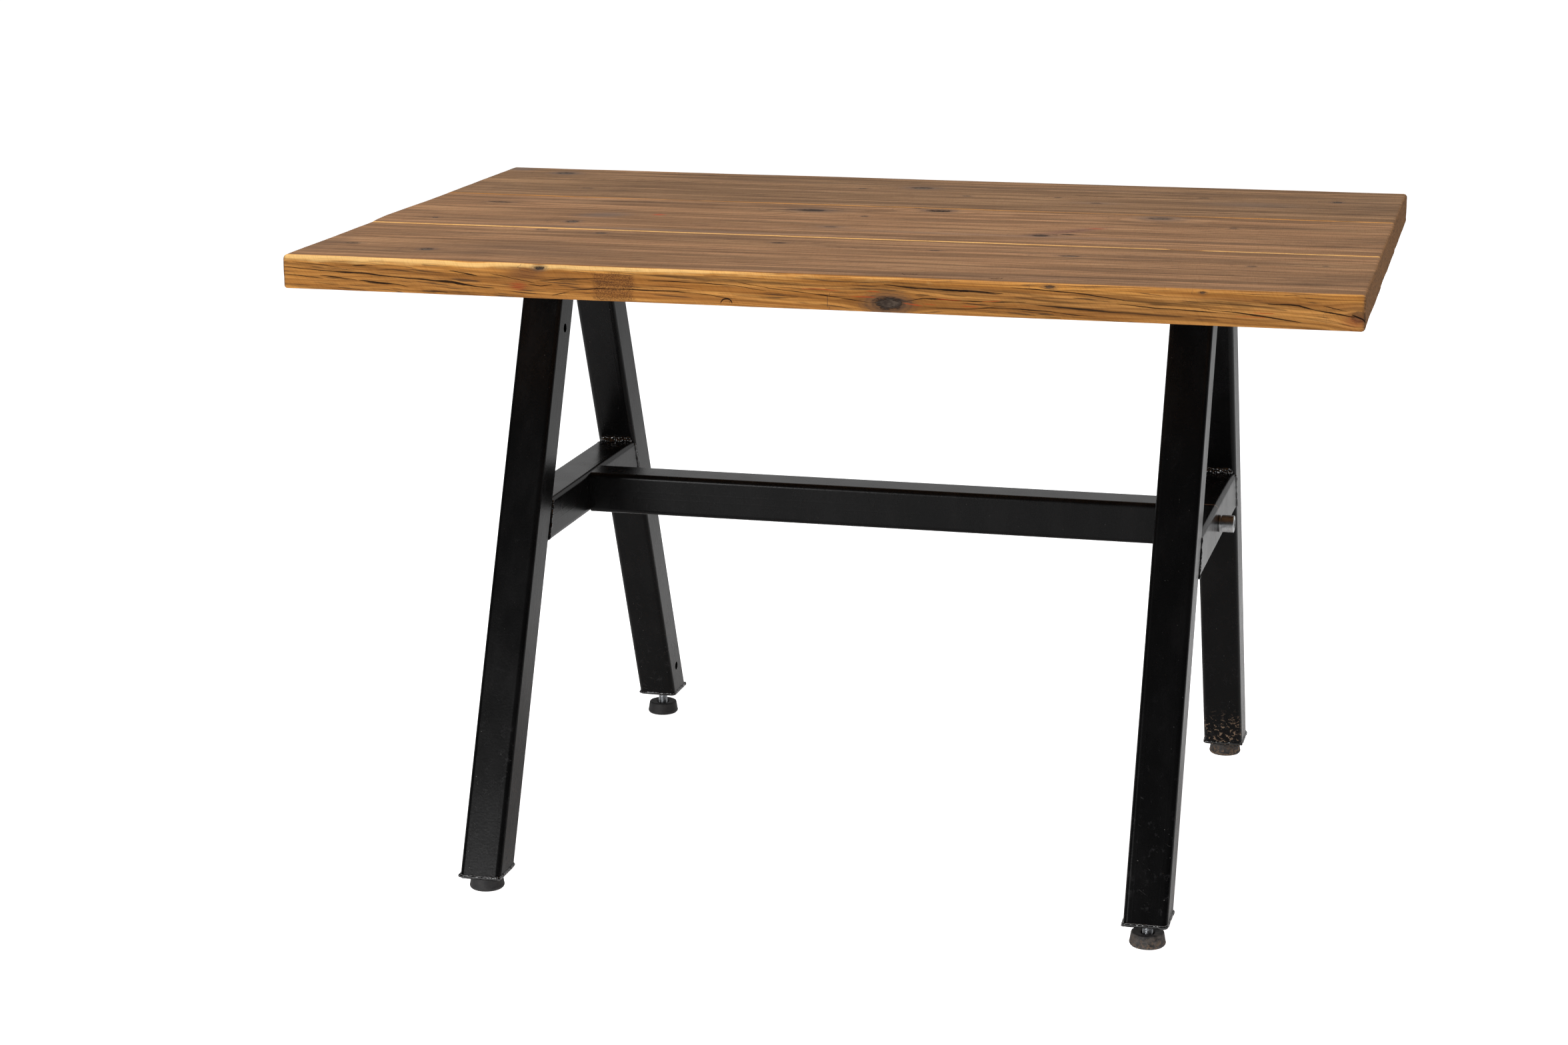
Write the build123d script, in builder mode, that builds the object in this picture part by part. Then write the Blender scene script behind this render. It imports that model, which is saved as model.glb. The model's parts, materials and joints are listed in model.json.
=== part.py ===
"""Fixed-height industrial table: a plank top on two welded A-frames with screw-in levelling feet.

Millimetres. X runs along the table, Y across it with -Y at the front, and +Z is up.
The origin is on the floor under the centre of the top.
"""
from build123d import *
import math
import os

os.makedirs("parts", exist_ok=True)

# ---------------------------------------------------------------- plank top
TABLE_HEIGHT = 750.0
TOP_THICKNESS = 38.0
TOP_DEPTH = 800.0
PLANK_COUNT = 3
PLANK_WIDTH = TOP_DEPTH / PLANK_COUNT
# The boards were cut to length by hand, so their left and right ends don't line up.
PLANK_ENDS = {"front": (-602.0, 606.0), "middle": (-600.0, 601.0), "back": (-606.0, 596.0)}
OUTER_ARRIS = 6.0
END_ARRIS = 3.0
JOINT_ARRIS = 1.5
DOWEL_RADIUS = 5.0
DOWEL_LENGTH = 60.0
DOWEL_X = (-500.0, -250.0, 0.0, 250.0, 500.0)

# ---------------------------------------------------------------- steel box section
TUBE = 50.0
TUBE_WALL = 3.0
TUBE_CORNER = 6.0

# ---------------------------------------------------------------- A-frames
FRAME_X = 390.6
LEG_LEAN = 22.7
LEG_TOP_Y = 72.0
RAIL_Z = 402.0
BAR_WIDTH = 60.0
BAR_LENGTH = 720.0
BAR_THICKNESS = 5.0
BAR_SCREW_Y = (-330.0, -190.0, -25.0, 25.0, 190.0, 330.0)
SCREW_RADIUS = 4.0
SCREW_LENGTH = 35.0
SCREW_HEAD_FLATS = 13.0
SCREW_HEAD_HEIGHT = 5.5
VENT_RADIUS = 5.5
VENT_UPPER_Z = 625.0
VENT_LOWER_Z = 73.0

# ---------------------------------------------------------------- stretcher bolts
BOLT_RADIUS = 6.0
BOLT_LENGTH = 70.0
BOLT_HEAD_RADIUS = 10.25
BOLT_HEAD_LENGTH = 15.0
BOLT_SOCKET_FLATS = 10.0
BOLT_SOCKET_DEPTH = 8.0
COLLAR_LENGTH = 3.0
RIM_CHAMFER = 0.6
RAIL_BORE_RADIUS = 6.5
SLEEVE_RADIUS = 10.0
SLEEVE_BORE_RADIUS = 6.25
PLUG_THICKNESS = 8.0

# ---------------------------------------------------------------- levelling feet
END_PLATE_THICKNESS = 4.0
NUT_FLATS = 19.0
NUT_HEIGHT = 10.0
STUD_RADIUS = 6.0
THREAD_CLEARANCE = 0.05
STUD_ABOVE_PAD = 37.0
PAD_HEIGHT = 16.0
PAD_BASE_RADIUS = 20.75
PAD_TOP_RADIUS = 18.5
PAD_RIM = 1.2
PAD_FLOOR = 5.0
STUD_HEAD_RADIUS = 9.0
STUD_HEAD_HEIGHT = 7.0
PAD_LIP_RADIUS = 7.8
# The legs were cut to slightly different lengths, and the feet make up the difference.
LEG_BOTTOM_Z = {"front_left": 18.0, "front_right": 29.0, "back_left": 32.0, "back_right": 18.5}

# ---------------------------------------------------------------- worked-out values
UNDERSIDE_Z = TABLE_HEIGHT - TOP_THICKNESS
LEG_TOP_Z = UNDERSIDE_Z - BAR_THICKNESS
LEAN_SIN = math.sin(math.radians(LEG_LEAN))
LEAN_COS = math.cos(math.radians(LEG_LEAN))
LEAN_TAN = LEAN_SIN / LEAN_COS
TUBE_SLANT = TUBE / LEAN_COS
JOINT_Y = (-PLANK_WIDTH / 2, PLANK_WIDTH / 2)
INNER_X = FRAME_X - TUBE / 2
OUTER_X = FRAME_X + TUBE / 2
THREAD_BORE_RADIUS = STUD_RADIUS + THREAD_CLEARANCE
SIDES = {"left": -1, "right": 1}
ROWS = {"front": -1, "middle": 0, "back": 1}


def leg_y(height):
    """Distance of a leg's centreline from the middle of the table at a height."""
    return LEG_TOP_Y + (UNDERSIDE_Z - height) * LEAN_TAN


def box_section():
    """Draw the hollow square section in the sketch being built."""
    RectangleRounded(TUBE, TUBE, TUBE_CORNER)
    inside = TUBE - 2 * TUBE_WALL
    RectangleRounded(inside, inside, TUBE_CORNER - TUBE_WALL, mode=Mode.SUBTRACT)


def dowel_plane(joint):
    """The plane of the glue joint at one Y, centred in the thickness of the boards."""
    return Plane(origin=(0, joint, UNDERSIDE_Z + TOP_THICKNESS / 2), x_dir=(1, 0, 0), z_dir=(0, 1, 0))


def finish(piece, name):
    """Label a finished piece and write its STEP file."""
    piece.part.label = name
    export_step(piece.part, f"parts/{name}.step")


def make_plank(row):
    """One board, bored for its dowels and for the screws of both mounting bars."""
    left, right = PLANK_ENDS[row]
    middle_y = ROWS[row] * PLANK_WIDTH
    with BuildPart() as plank:
        with BuildSketch(Plane.XY.offset(UNDERSIDE_Z)):
            with Locations(((left + right) / 2, middle_y)):
                Rectangle(right - left, PLANK_WIDTH)
        extrude(amount=TOP_THICKNESS)
        long_edges = plank.edges().group_by(Axis.Z)[-1].filter_by(Axis.X).sort_by(Axis.Y)
        front_radius = OUTER_ARRIS if row == "front" else JOINT_ARRIS
        back_radius = OUTER_ARRIS if row == "back" else JOINT_ARRIS
        fillet(long_edges[0], radius=front_radius)
        fillet(long_edges[-1], radius=back_radius)
        fillet(plank.edges().group_by(Axis.Z)[-1].filter_by(Axis.Y), radius=END_ARRIS)
        for joint in JOINT_Y:
            if abs(joint - middle_y) < PLANK_WIDTH:
                with BuildSketch(dowel_plane(joint)):
                    with Locations([(x, 0) for x in DOWEL_X]):
                        Circle(DOWEL_RADIUS)
                extrude(amount=DOWEL_LENGTH / 2, both=True, mode=Mode.SUBTRACT)
        with BuildSketch(Plane.XY.offset(UNDERSIDE_Z)):
            spots = [(side * FRAME_X, y) for side in SIDES.values() for y in BAR_SCREW_Y]
            with Locations([spot for spot in spots if abs(spot[1] - middle_y) < PLANK_WIDTH / 2]):
                Circle(SCREW_RADIUS)
        extrude(amount=SCREW_LENGTH - BAR_THICKNESS, mode=Mode.SUBTRACT)
    finish(plank, f"plank_{row}")


def make_dowels(name, joint):
    """The wooden dowels across one joint between two boards."""
    with BuildPart() as dowels:
        with BuildSketch(dowel_plane(joint)):
            with Locations([(x, 0) for x in DOWEL_X]):
                Circle(DOWEL_RADIUS)
        extrude(amount=DOWEL_LENGTH / 2, both=True)
    finish(dowels, name)


def make_mounting_bar(side_name, side):
    """The flat bar across the top of an A-frame, drilled for its wood screws."""
    with BuildPart() as bar:
        with BuildSketch(Plane.XY.offset(LEG_TOP_Z)):
            with Locations((side * FRAME_X, 0)):
                RectangleRounded(BAR_WIDTH, BAR_LENGTH, 2 * BAR_THICKNESS)
            with Locations([(side * FRAME_X, y) for y in BAR_SCREW_Y]):
                Circle(SCREW_RADIUS, mode=Mode.SUBTRACT)
        extrude(amount=BAR_THICKNESS)
    finish(bar, f"mounting_bar_{side_name}")


def make_bar_screws(side_name, side):
    """The hexagon-head wood screws that hold one mounting bar to the boards."""
    with BuildPart() as screws:
        with BuildSketch(Plane.XY.offset(LEG_TOP_Z)):
            with Locations([(side * FRAME_X, y) for y in BAR_SCREW_Y]):
                Circle(SCREW_RADIUS)
        extrude(amount=SCREW_LENGTH)
        with BuildSketch(Plane.XY.offset(LEG_TOP_Z)):
            with Locations([(side * FRAME_X, y) for y in BAR_SCREW_Y]):
                RegularPolygon(SCREW_HEAD_FLATS / 2, 6, major_radius=False)
        extrude(amount=-SCREW_HEAD_HEIGHT)
    finish(screws, f"bar_screws_{side_name}")


def make_leg(corner, side, end):
    """A leaning leg of box section, cut level under the mounting bar and above its end plate."""
    foot_z = LEG_BOTTOM_Z[corner] + END_PLATE_THICKNESS
    top = (side * FRAME_X, end * LEG_TOP_Y, UNDERSIDE_Z)
    with BuildPart() as leg:
        with BuildSketch(Plane(origin=top, x_dir=(1, 0, 0), z_dir=(0, end * LEAN_SIN, -LEAN_COS))):
            box_section()
        extrude(amount=TUBE + UNDERSIDE_Z / LEAN_COS)
        split(bisect_by=Plane.XY.offset(LEG_TOP_Z), keep=Keep.BOTTOM)
        split(bisect_by=Plane.XY.offset(foot_z), keep=Keep.TOP)
        # One vent hole faces inwards: high on one diagonal pair of legs and low on the other.
        vent_z = VENT_UPPER_Z if side == end else VENT_LOWER_Z
        vent_centre = (side * INNER_X, end * leg_y(vent_z), vent_z)
        with BuildSketch(Plane(origin=vent_centre, z_dir=(side, 0, 0))):
            Circle(VENT_RADIUS)
        extrude(amount=TUBE_CORNER, mode=Mode.SUBTRACT)
    finish(leg, f"leg_{corner}")


def make_cross_rail(side_name, side):
    """The rail between the two legs of an A-frame, mitred to their slope and bored for the bolt."""
    with BuildPart() as rail:
        with BuildSketch(Plane(origin=(side * FRAME_X, 0, RAIL_Z), x_dir=(1, 0, 0), z_dir=(0, 1, 0))):
            box_section()
        extrude(amount=leg_y(0), both=True)
        for end in (-1, 1):
            face_y = end * (leg_y(RAIL_Z) - TUBE_SLANT / 2)
            slope = (0, end * LEAN_COS, LEAN_SIN)
            split(bisect_by=Plane(origin=(0, face_y, RAIL_Z), z_dir=slope), keep=Keep.BOTTOM)
        with BuildSketch(Plane(origin=(side * FRAME_X, 0, RAIL_Z), z_dir=(1, 0, 0))):
            Circle(RAIL_BORE_RADIUS)
        extrude(amount=TUBE, both=True, mode=Mode.SUBTRACT)
    finish(rail, f"cross_rail_{side_name}")


def make_rail_sleeve(side_name, side):
    """The spacer tube inside a cross rail that stops the bolt from crushing it."""
    with BuildPart() as sleeve:
        with BuildSketch(Plane(origin=(side * FRAME_X, 0, RAIL_Z), z_dir=(1, 0, 0))):
            Circle(SLEEVE_RADIUS)
            Circle(SLEEVE_BORE_RADIUS, mode=Mode.SUBTRACT)
        extrude(amount=TUBE / 2 - TUBE_WALL, both=True)
    finish(sleeve, f"rail_sleeve_{side_name}")


def make_stretcher():
    """The long beam between the two cross rails."""
    with BuildPart() as stretcher:
        with BuildSketch(Plane(origin=(0, 0, RAIL_Z), x_dir=(0, 1, 0), z_dir=(1, 0, 0))):
            box_section()
        extrude(amount=INNER_X, both=True)
    finish(stretcher, "stretcher")


def make_stretcher_plug(side_name, side):
    """The tapped plate welded inside one end of the stretcher."""
    inside = TUBE - 2 * TUBE_WALL
    with BuildPart() as plug:
        with BuildSketch(Plane(origin=(side * INNER_X, 0, RAIL_Z), x_dir=(0, 1, 0), z_dir=(-side, 0, 0))):
            RectangleRounded(inside, inside, TUBE_CORNER - TUBE_WALL)
            Circle(BOLT_RADIUS, mode=Mode.SUBTRACT)
        extrude(amount=PLUG_THICKNESS)
    finish(plug, f"stretcher_plug_{side_name}")


def make_bolt_collar(side_name, side):
    """The plain round collar between a cross rail and its bolt head."""
    with BuildPart() as collar:
        with BuildSketch(Plane(origin=(side * OUTER_X, 0, RAIL_Z), z_dir=(side, 0, 0))):
            Circle(BOLT_HEAD_RADIUS)
            Circle(SLEEVE_BORE_RADIUS, mode=Mode.SUBTRACT)
        extrude(amount=COLLAR_LENGTH)
        rims = collar.edges().filter_by(GeomType.CIRCLE)
        chamfer(rims.filter_by(lambda rim: rim.radius > SLEEVE_RADIUS), length=RIM_CHAMFER)
    finish(collar, f"bolt_collar_{side_name}")


def make_stretcher_bolt(side_name, side):
    """A round-headed bolt with a hexagon socket, through the cross rail into the stretcher."""
    head_x = side * (OUTER_X + COLLAR_LENGTH)
    with BuildPart() as bolt:
        with BuildSketch(Plane(origin=(head_x, 0, RAIL_Z), z_dir=(side, 0, 0))):
            Circle(BOLT_HEAD_RADIUS)
        extrude(amount=BOLT_HEAD_LENGTH)
        chamfer(bolt.edges().filter_by(GeomType.CIRCLE), length=RIM_CHAMFER)
        with BuildSketch(Plane(origin=(head_x, 0, RAIL_Z), z_dir=(-side, 0, 0))):
            Circle(BOLT_RADIUS)
        extrude(amount=BOLT_LENGTH)
        outer_end = side * (OUTER_X + COLLAR_LENGTH + BOLT_HEAD_LENGTH)
        with BuildSketch(Plane(origin=(outer_end, 0, RAIL_Z), z_dir=(-side, 0, 0))):
            RegularPolygon(BOLT_SOCKET_FLATS / 2, 6, major_radius=False)
        extrude(amount=BOLT_SOCKET_DEPTH, mode=Mode.SUBTRACT)
    finish(bolt, f"stretcher_bolt_{side_name}")


def make_end_plate(corner, x, y):
    """The plate that closes the bottom of a leg, tapped for its levelling stud."""
    with BuildPart() as plate:
        with BuildSketch(Plane.XY.offset(LEG_BOTTOM_Z[corner])):
            with Locations((x, y)):
                RectangleRounded(TUBE, TUBE_SLANT, TUBE_CORNER)
                Circle(THREAD_BORE_RADIUS, mode=Mode.SUBTRACT)
        extrude(amount=END_PLATE_THICKNESS)
    finish(plate, f"end_plate_{corner}")


def make_weld_nut(corner, x, y):
    """The nut welded on top of an end plate, inside the leg."""
    with BuildPart() as nut:
        with BuildSketch(Plane.XY.offset(LEG_BOTTOM_Z[corner] + END_PLATE_THICKNESS)):
            with Locations((x, y)):
                RegularPolygon(NUT_FLATS / 2, 6, major_radius=False)
                Circle(THREAD_BORE_RADIUS, mode=Mode.SUBTRACT)
        extrude(amount=NUT_HEIGHT)
    finish(nut, f"weld_nut_{corner}")


def make_foot_stud(corner, x, y):
    """A threaded levelling stud with the round head that turns in its pad."""
    with BuildPart() as stud:
        with BuildSketch(Plane.XY.offset(PAD_FLOOR)):
            with Locations((x, y)):
                Circle(STUD_HEAD_RADIUS)
        extrude(amount=STUD_HEAD_HEIGHT)
        with BuildSketch(Plane.XY.offset(PAD_FLOOR)):
            with Locations((x, y)):
                Circle(STUD_RADIUS)
        extrude(amount=PAD_HEIGHT - PAD_FLOOR + STUD_ABOVE_PAD)
        chamfer(stud.edges().sort_by(Axis.Z)[-1], length=2 * RIM_CHAMFER)
    finish(stud, f"foot_stud_{corner}")


def make_foot_pad(corner, x, y):
    """A tapered rubber pad whose lip holds the stud's head captive."""
    socket_radius = STUD_HEAD_RADIUS + THREAD_CLEARANCE
    lip_z = PAD_FLOOR + STUD_HEAD_HEIGHT + THREAD_CLEARANCE
    with BuildPart() as pad:
        with BuildSketch(Plane(origin=(x, y, 0), x_dir=(1, 0, 0), z_dir=(0, -1, 0))) as profile:
            with BuildLine():
                Polyline(
                    (0, 0),
                    (PAD_BASE_RADIUS, 0),
                    (PAD_TOP_RADIUS, PAD_HEIGHT),
                    (PAD_LIP_RADIUS, PAD_HEIGHT),
                    (PAD_LIP_RADIUS, lip_z),
                    (socket_radius, lip_z),
                    (socket_radius, PAD_FLOOR),
                    (0, PAD_FLOOR),
                    close=True,
                )
            make_face()
            fillet(profile.vertices().sort_by(Axis.X)[-2:], radius=PAD_RIM)
        revolve(axis=Axis((x, y, 0), (0, 0, 1)))
    finish(pad, f"foot_pad_{corner}")


for row in ROWS:
    make_plank(row)
for joint_name, joint_y in zip(("front", "back"), JOINT_Y):
    make_dowels(f"dowels_{joint_name}_joint", joint_y)

for side_name, side in SIDES.items():
    make_mounting_bar(side_name, side)
    make_bar_screws(side_name, side)
    make_cross_rail(side_name, side)
    make_rail_sleeve(side_name, side)
    make_stretcher_plug(side_name, side)
    make_bolt_collar(side_name, side)
    make_stretcher_bolt(side_name, side)
make_stretcher()

for end_name, end in (("front", -1), ("back", 1)):
    for side_name, side in SIDES.items():
        corner = f"{end_name}_{side_name}"
        foot_x = side * FRAME_X
        foot_y = end * leg_y(LEG_BOTTOM_Z[corner])
        make_leg(corner, side, end)
        make_end_plate(corner, foot_x, foot_y)
        make_weld_nut(corner, foot_x, foot_y)
        make_foot_stud(corner, foot_x, foot_y)
        make_foot_pad(corner, foot_x, foot_y)
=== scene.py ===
import json
import math

import bpy
import numpy as np
from mathutils import Matrix, Vector


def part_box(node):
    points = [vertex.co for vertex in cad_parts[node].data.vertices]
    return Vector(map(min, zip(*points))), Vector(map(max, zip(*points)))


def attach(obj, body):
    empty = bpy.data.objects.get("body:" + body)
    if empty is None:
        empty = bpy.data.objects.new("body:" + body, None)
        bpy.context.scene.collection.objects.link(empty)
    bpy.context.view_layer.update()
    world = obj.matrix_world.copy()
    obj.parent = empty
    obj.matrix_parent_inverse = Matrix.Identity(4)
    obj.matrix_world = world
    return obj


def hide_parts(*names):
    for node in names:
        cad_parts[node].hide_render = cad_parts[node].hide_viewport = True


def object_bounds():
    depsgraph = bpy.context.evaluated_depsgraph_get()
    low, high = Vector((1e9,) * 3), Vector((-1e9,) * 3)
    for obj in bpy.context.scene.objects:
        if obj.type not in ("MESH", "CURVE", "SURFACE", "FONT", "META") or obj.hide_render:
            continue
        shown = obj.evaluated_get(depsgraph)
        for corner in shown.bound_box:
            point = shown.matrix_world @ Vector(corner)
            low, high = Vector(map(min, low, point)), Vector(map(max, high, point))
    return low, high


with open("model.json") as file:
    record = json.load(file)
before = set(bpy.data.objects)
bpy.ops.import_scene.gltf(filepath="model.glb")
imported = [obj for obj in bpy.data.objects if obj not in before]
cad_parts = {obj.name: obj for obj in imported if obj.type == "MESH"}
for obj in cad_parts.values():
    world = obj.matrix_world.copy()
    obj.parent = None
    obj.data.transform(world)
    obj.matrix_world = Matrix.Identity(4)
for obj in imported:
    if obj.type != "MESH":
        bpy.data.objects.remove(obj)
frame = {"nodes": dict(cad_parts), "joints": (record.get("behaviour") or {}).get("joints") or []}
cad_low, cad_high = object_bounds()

MM = 0.001
LEFT_RIGHT = {"left": -1, "right": 1}
FRONT_BACK = {"front": -1, "back": 1}
CORNERS = [(f"{e}_{s}", LEFT_RIGHT[s], FRONT_BACK[e]) for e in FRONT_BACK for s in LEFT_RIGHT]
SCRATCH_Y = -0.012


# ------------------------------------------------------------------ noise for shapes
def lattice_value(ix, iy, iz, seed):
    """A repeatable value from 0 to 1 for each whole-number point."""
    mask = np.uint64(0xFFFFFFFF)
    h = (ix.astype(np.int64) * 374761393 + iy.astype(np.int64) * 668265263
         + iz.astype(np.int64) * 2147483629 + seed * 1274126177).astype(np.uint64) & mask
    h = ((h ^ (h >> np.uint64(13))) * np.uint64(1274126177)) & mask
    h = h ^ (h >> np.uint64(16))
    return (h & np.uint64(0xFFFFFF)).astype(float) / 0xFFFFFF


def smooth_noise(x, y, z, seed):
    """Smooth noise from -1 to 1 with features about 1 unit apart."""
    x, y, z = np.broadcast_arrays(np.asarray(x, float), np.asarray(y, float), np.asarray(z, float))
    cells = [np.floor(v) for v in (x, y, z)]
    parts = [v - c for v, c in zip((x, y, z), cells)]
    fx, fy, fz = [p * p * (3 - 2 * p) for p in parts]
    total = 0.0
    for dx in (0, 1):
        for dy in (0, 1):
            for dz in (0, 1):
                weight = (fx if dx else 1 - fx) * (fy if dy else 1 - fy) * (fz if dz else 1 - fz)
                total = total + weight * lattice_value(cells[0] + dx, cells[1] + dy, cells[2] + dz, seed)
    return total * 2 - 1


def layered_noise(x, y, z, seed, layers=3):
    """Several sizes of smooth noise added together."""
    total = 0.0
    for i in range(layers):
        total = total + smooth_noise(x * 2 ** i, y * 2 ** i, z * 2 ** i, seed + 17 * i) / 2 ** i
    return total / 1.6


def fade(value, low, high):
    """0 below low, 1 above high, smooth between."""
    t = np.clip((value - low) / (high - low), 0, 1)
    return t * t * (3 - 2 * t)


def make_object(name, vertices, quads, material):
    """A smooth-shaded mesh object, from vertices in metres and quads."""
    mesh = bpy.data.meshes.new(name)
    vertices = np.asarray(vertices, np.float32)
    quads = np.asarray(quads, np.int32)
    mesh.vertices.add(len(vertices))
    mesh.vertices.foreach_set("co", vertices.ravel())
    mesh.loops.add(quads.size)
    mesh.loops.foreach_set("vertex_index", quads.ravel())
    mesh.polygons.add(len(quads))
    mesh.polygons.foreach_set("loop_start", np.arange(0, quads.size, 4, dtype=np.int32))
    mesh.update(calc_edges=True)
    mesh.polygons.foreach_set("use_smooth", np.full(len(quads), True))
    mesh.validate()
    piece = bpy.data.objects.new(name, mesh)
    bpy.context.scene.collection.objects.link(piece)
    mesh.materials.append(material)
    return piece


def grid_quads(index):
    """Quads between neighbours in a grid of vertex numbers."""
    return np.stack([index[:-1, :-1], index[1:, :-1], index[1:, 1:], index[:-1, 1:]], -1).reshape(-1, 4)


def node_box(node):
    """A CAD node's corners in millimetres."""
    return (np.array(corner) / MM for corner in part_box(node))


# ------------------------------------------------------------------ material nodes
class Value:
    """A node's output that can be used in arithmetic."""

    def __init__(self, nodes, socket):
        self.nodes, self.socket = nodes, socket

    def __add__(self, other):
        return self.nodes.maths("ADD", self, other)

    def __mul__(self, other):
        return self.nodes.maths("MULTIPLY", self, other)

    def __sub__(self, other):
        return self.nodes.maths("SUBTRACT", self, other)

    def __rsub__(self, other):
        return self.nodes.maths("SUBTRACT", other, self)

    def __truediv__(self, other):
        return self.nodes.maths("DIVIDE", self, other)

    def __abs__(self):
        return self.nodes.maths("ABSOLUTE", self)

    __radd__, __rmul__ = __add__, __mul__


class Nodes:
    """A material's or world's node tree, built by short calls."""

    def __init__(self, owner):
        owner.use_nodes = True
        self.owner, self.tree = owner, owner.node_tree
        self.tree.nodes.clear()

    def put(self, socket, value):
        if isinstance(value, Value):
            self.tree.links.new(value.socket, socket)
        elif isinstance(value, tuple) and len(value) == 3 and socket.type == "RGBA":
            socket.default_value = (*value, 1.0)
        else:
            socket.default_value = value

    def add(self, kind, inputs=None, out=0, **settings):
        """A new node with its inputs set or linked; returns one of its outputs, if it has any."""
        node = self.tree.nodes.new("ShaderNode" + kind)
        for key, value in settings.items():
            setattr(node, key, value)
        for key, value in (inputs or {}).items():
            self.put(node.inputs[key], value)
        return Value(self, node.outputs[out]) if node.outputs else None

    def maths(self, operation, *values):
        return self.add("Math", dict(enumerate(values)), operation=operation)

    def split(self, vector):
        return [self.add("SeparateXYZ", {0: vector}, out=axis) for axis in range(3)]

    def attribute(self, name):
        return self.split(self.add("Attribute", out="Vector", attribute_name=name))

    def join(self, x, y, z):
        return self.add("CombineXYZ", {0: x, 1: y, 2: z})

    def place(self):
        return self.add("TexCoord", out="Object")

    def scaled(self, x, y, z):
        """The place, with so many units to the metre along each axis."""
        return self.add("VectorMath", {0: self.place(), 1: (x, y, z)}, operation="MULTIPLY")

    def slanted(self, rotation, x, y, z):
        """The place in a turned frame, with so many units to the metre along each of its axes."""
        inputs = {"Vector": self.place(), "Rotation": rotation, "Scale": (1 / x, 1 / y, 1 / z)}
        return self.add("Mapping", inputs, vector_type="TEXTURE")

    def noise(self, vector, detail=2.0, rough=0.5, twist=0.0):
        inputs = {"Vector": vector, "Scale": 1.0, "Detail": detail, "Roughness": rough, "Distortion": twist}
        return self.add("TexNoise", inputs, out="Fac")

    def fade(self, value, low, high, start=0.0, end=1.0):
        inputs = {0: value, 1: low, 2: high, 3: start, 4: end}
        return self.add("MapRange", inputs, interpolation_type="SMOOTHSTEP", clamp=True)

    def mix(self, share, a, b, how="MIX"):
        inputs = {0: share, 6: a, 7: b}
        return self.add("Mix", inputs, out=2, data_type="RGBA", blend_type=how, clamp_factor=True)

    def camera_ray(self):
        return self.add("LightPath", out="Is Camera Ray")

    def finish(self, colour, height, strength, distance, **inputs):
        """The shader, with a bump from the height, and the output; returns the material."""
        bump = self.add("Bump", {"Height": height, "Strength": strength, "Distance": distance})
        names = {"roughness": "Roughness", "metallic": "Metallic", "specular": "Specular IOR Level"}
        inputs = {names[key]: value for key, value in inputs.items()}
        shader = self.add("BsdfPrincipled", {"Base Color": colour, "Normal": bump, **inputs})
        self.add("OutputMaterial", {"Surface": shader})
        return self.owner


def new_material(name):
    return Nodes(bpy.data.materials.new(name))


def times(factor, colour):
    return tuple(factor * c for c in colour)


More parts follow.
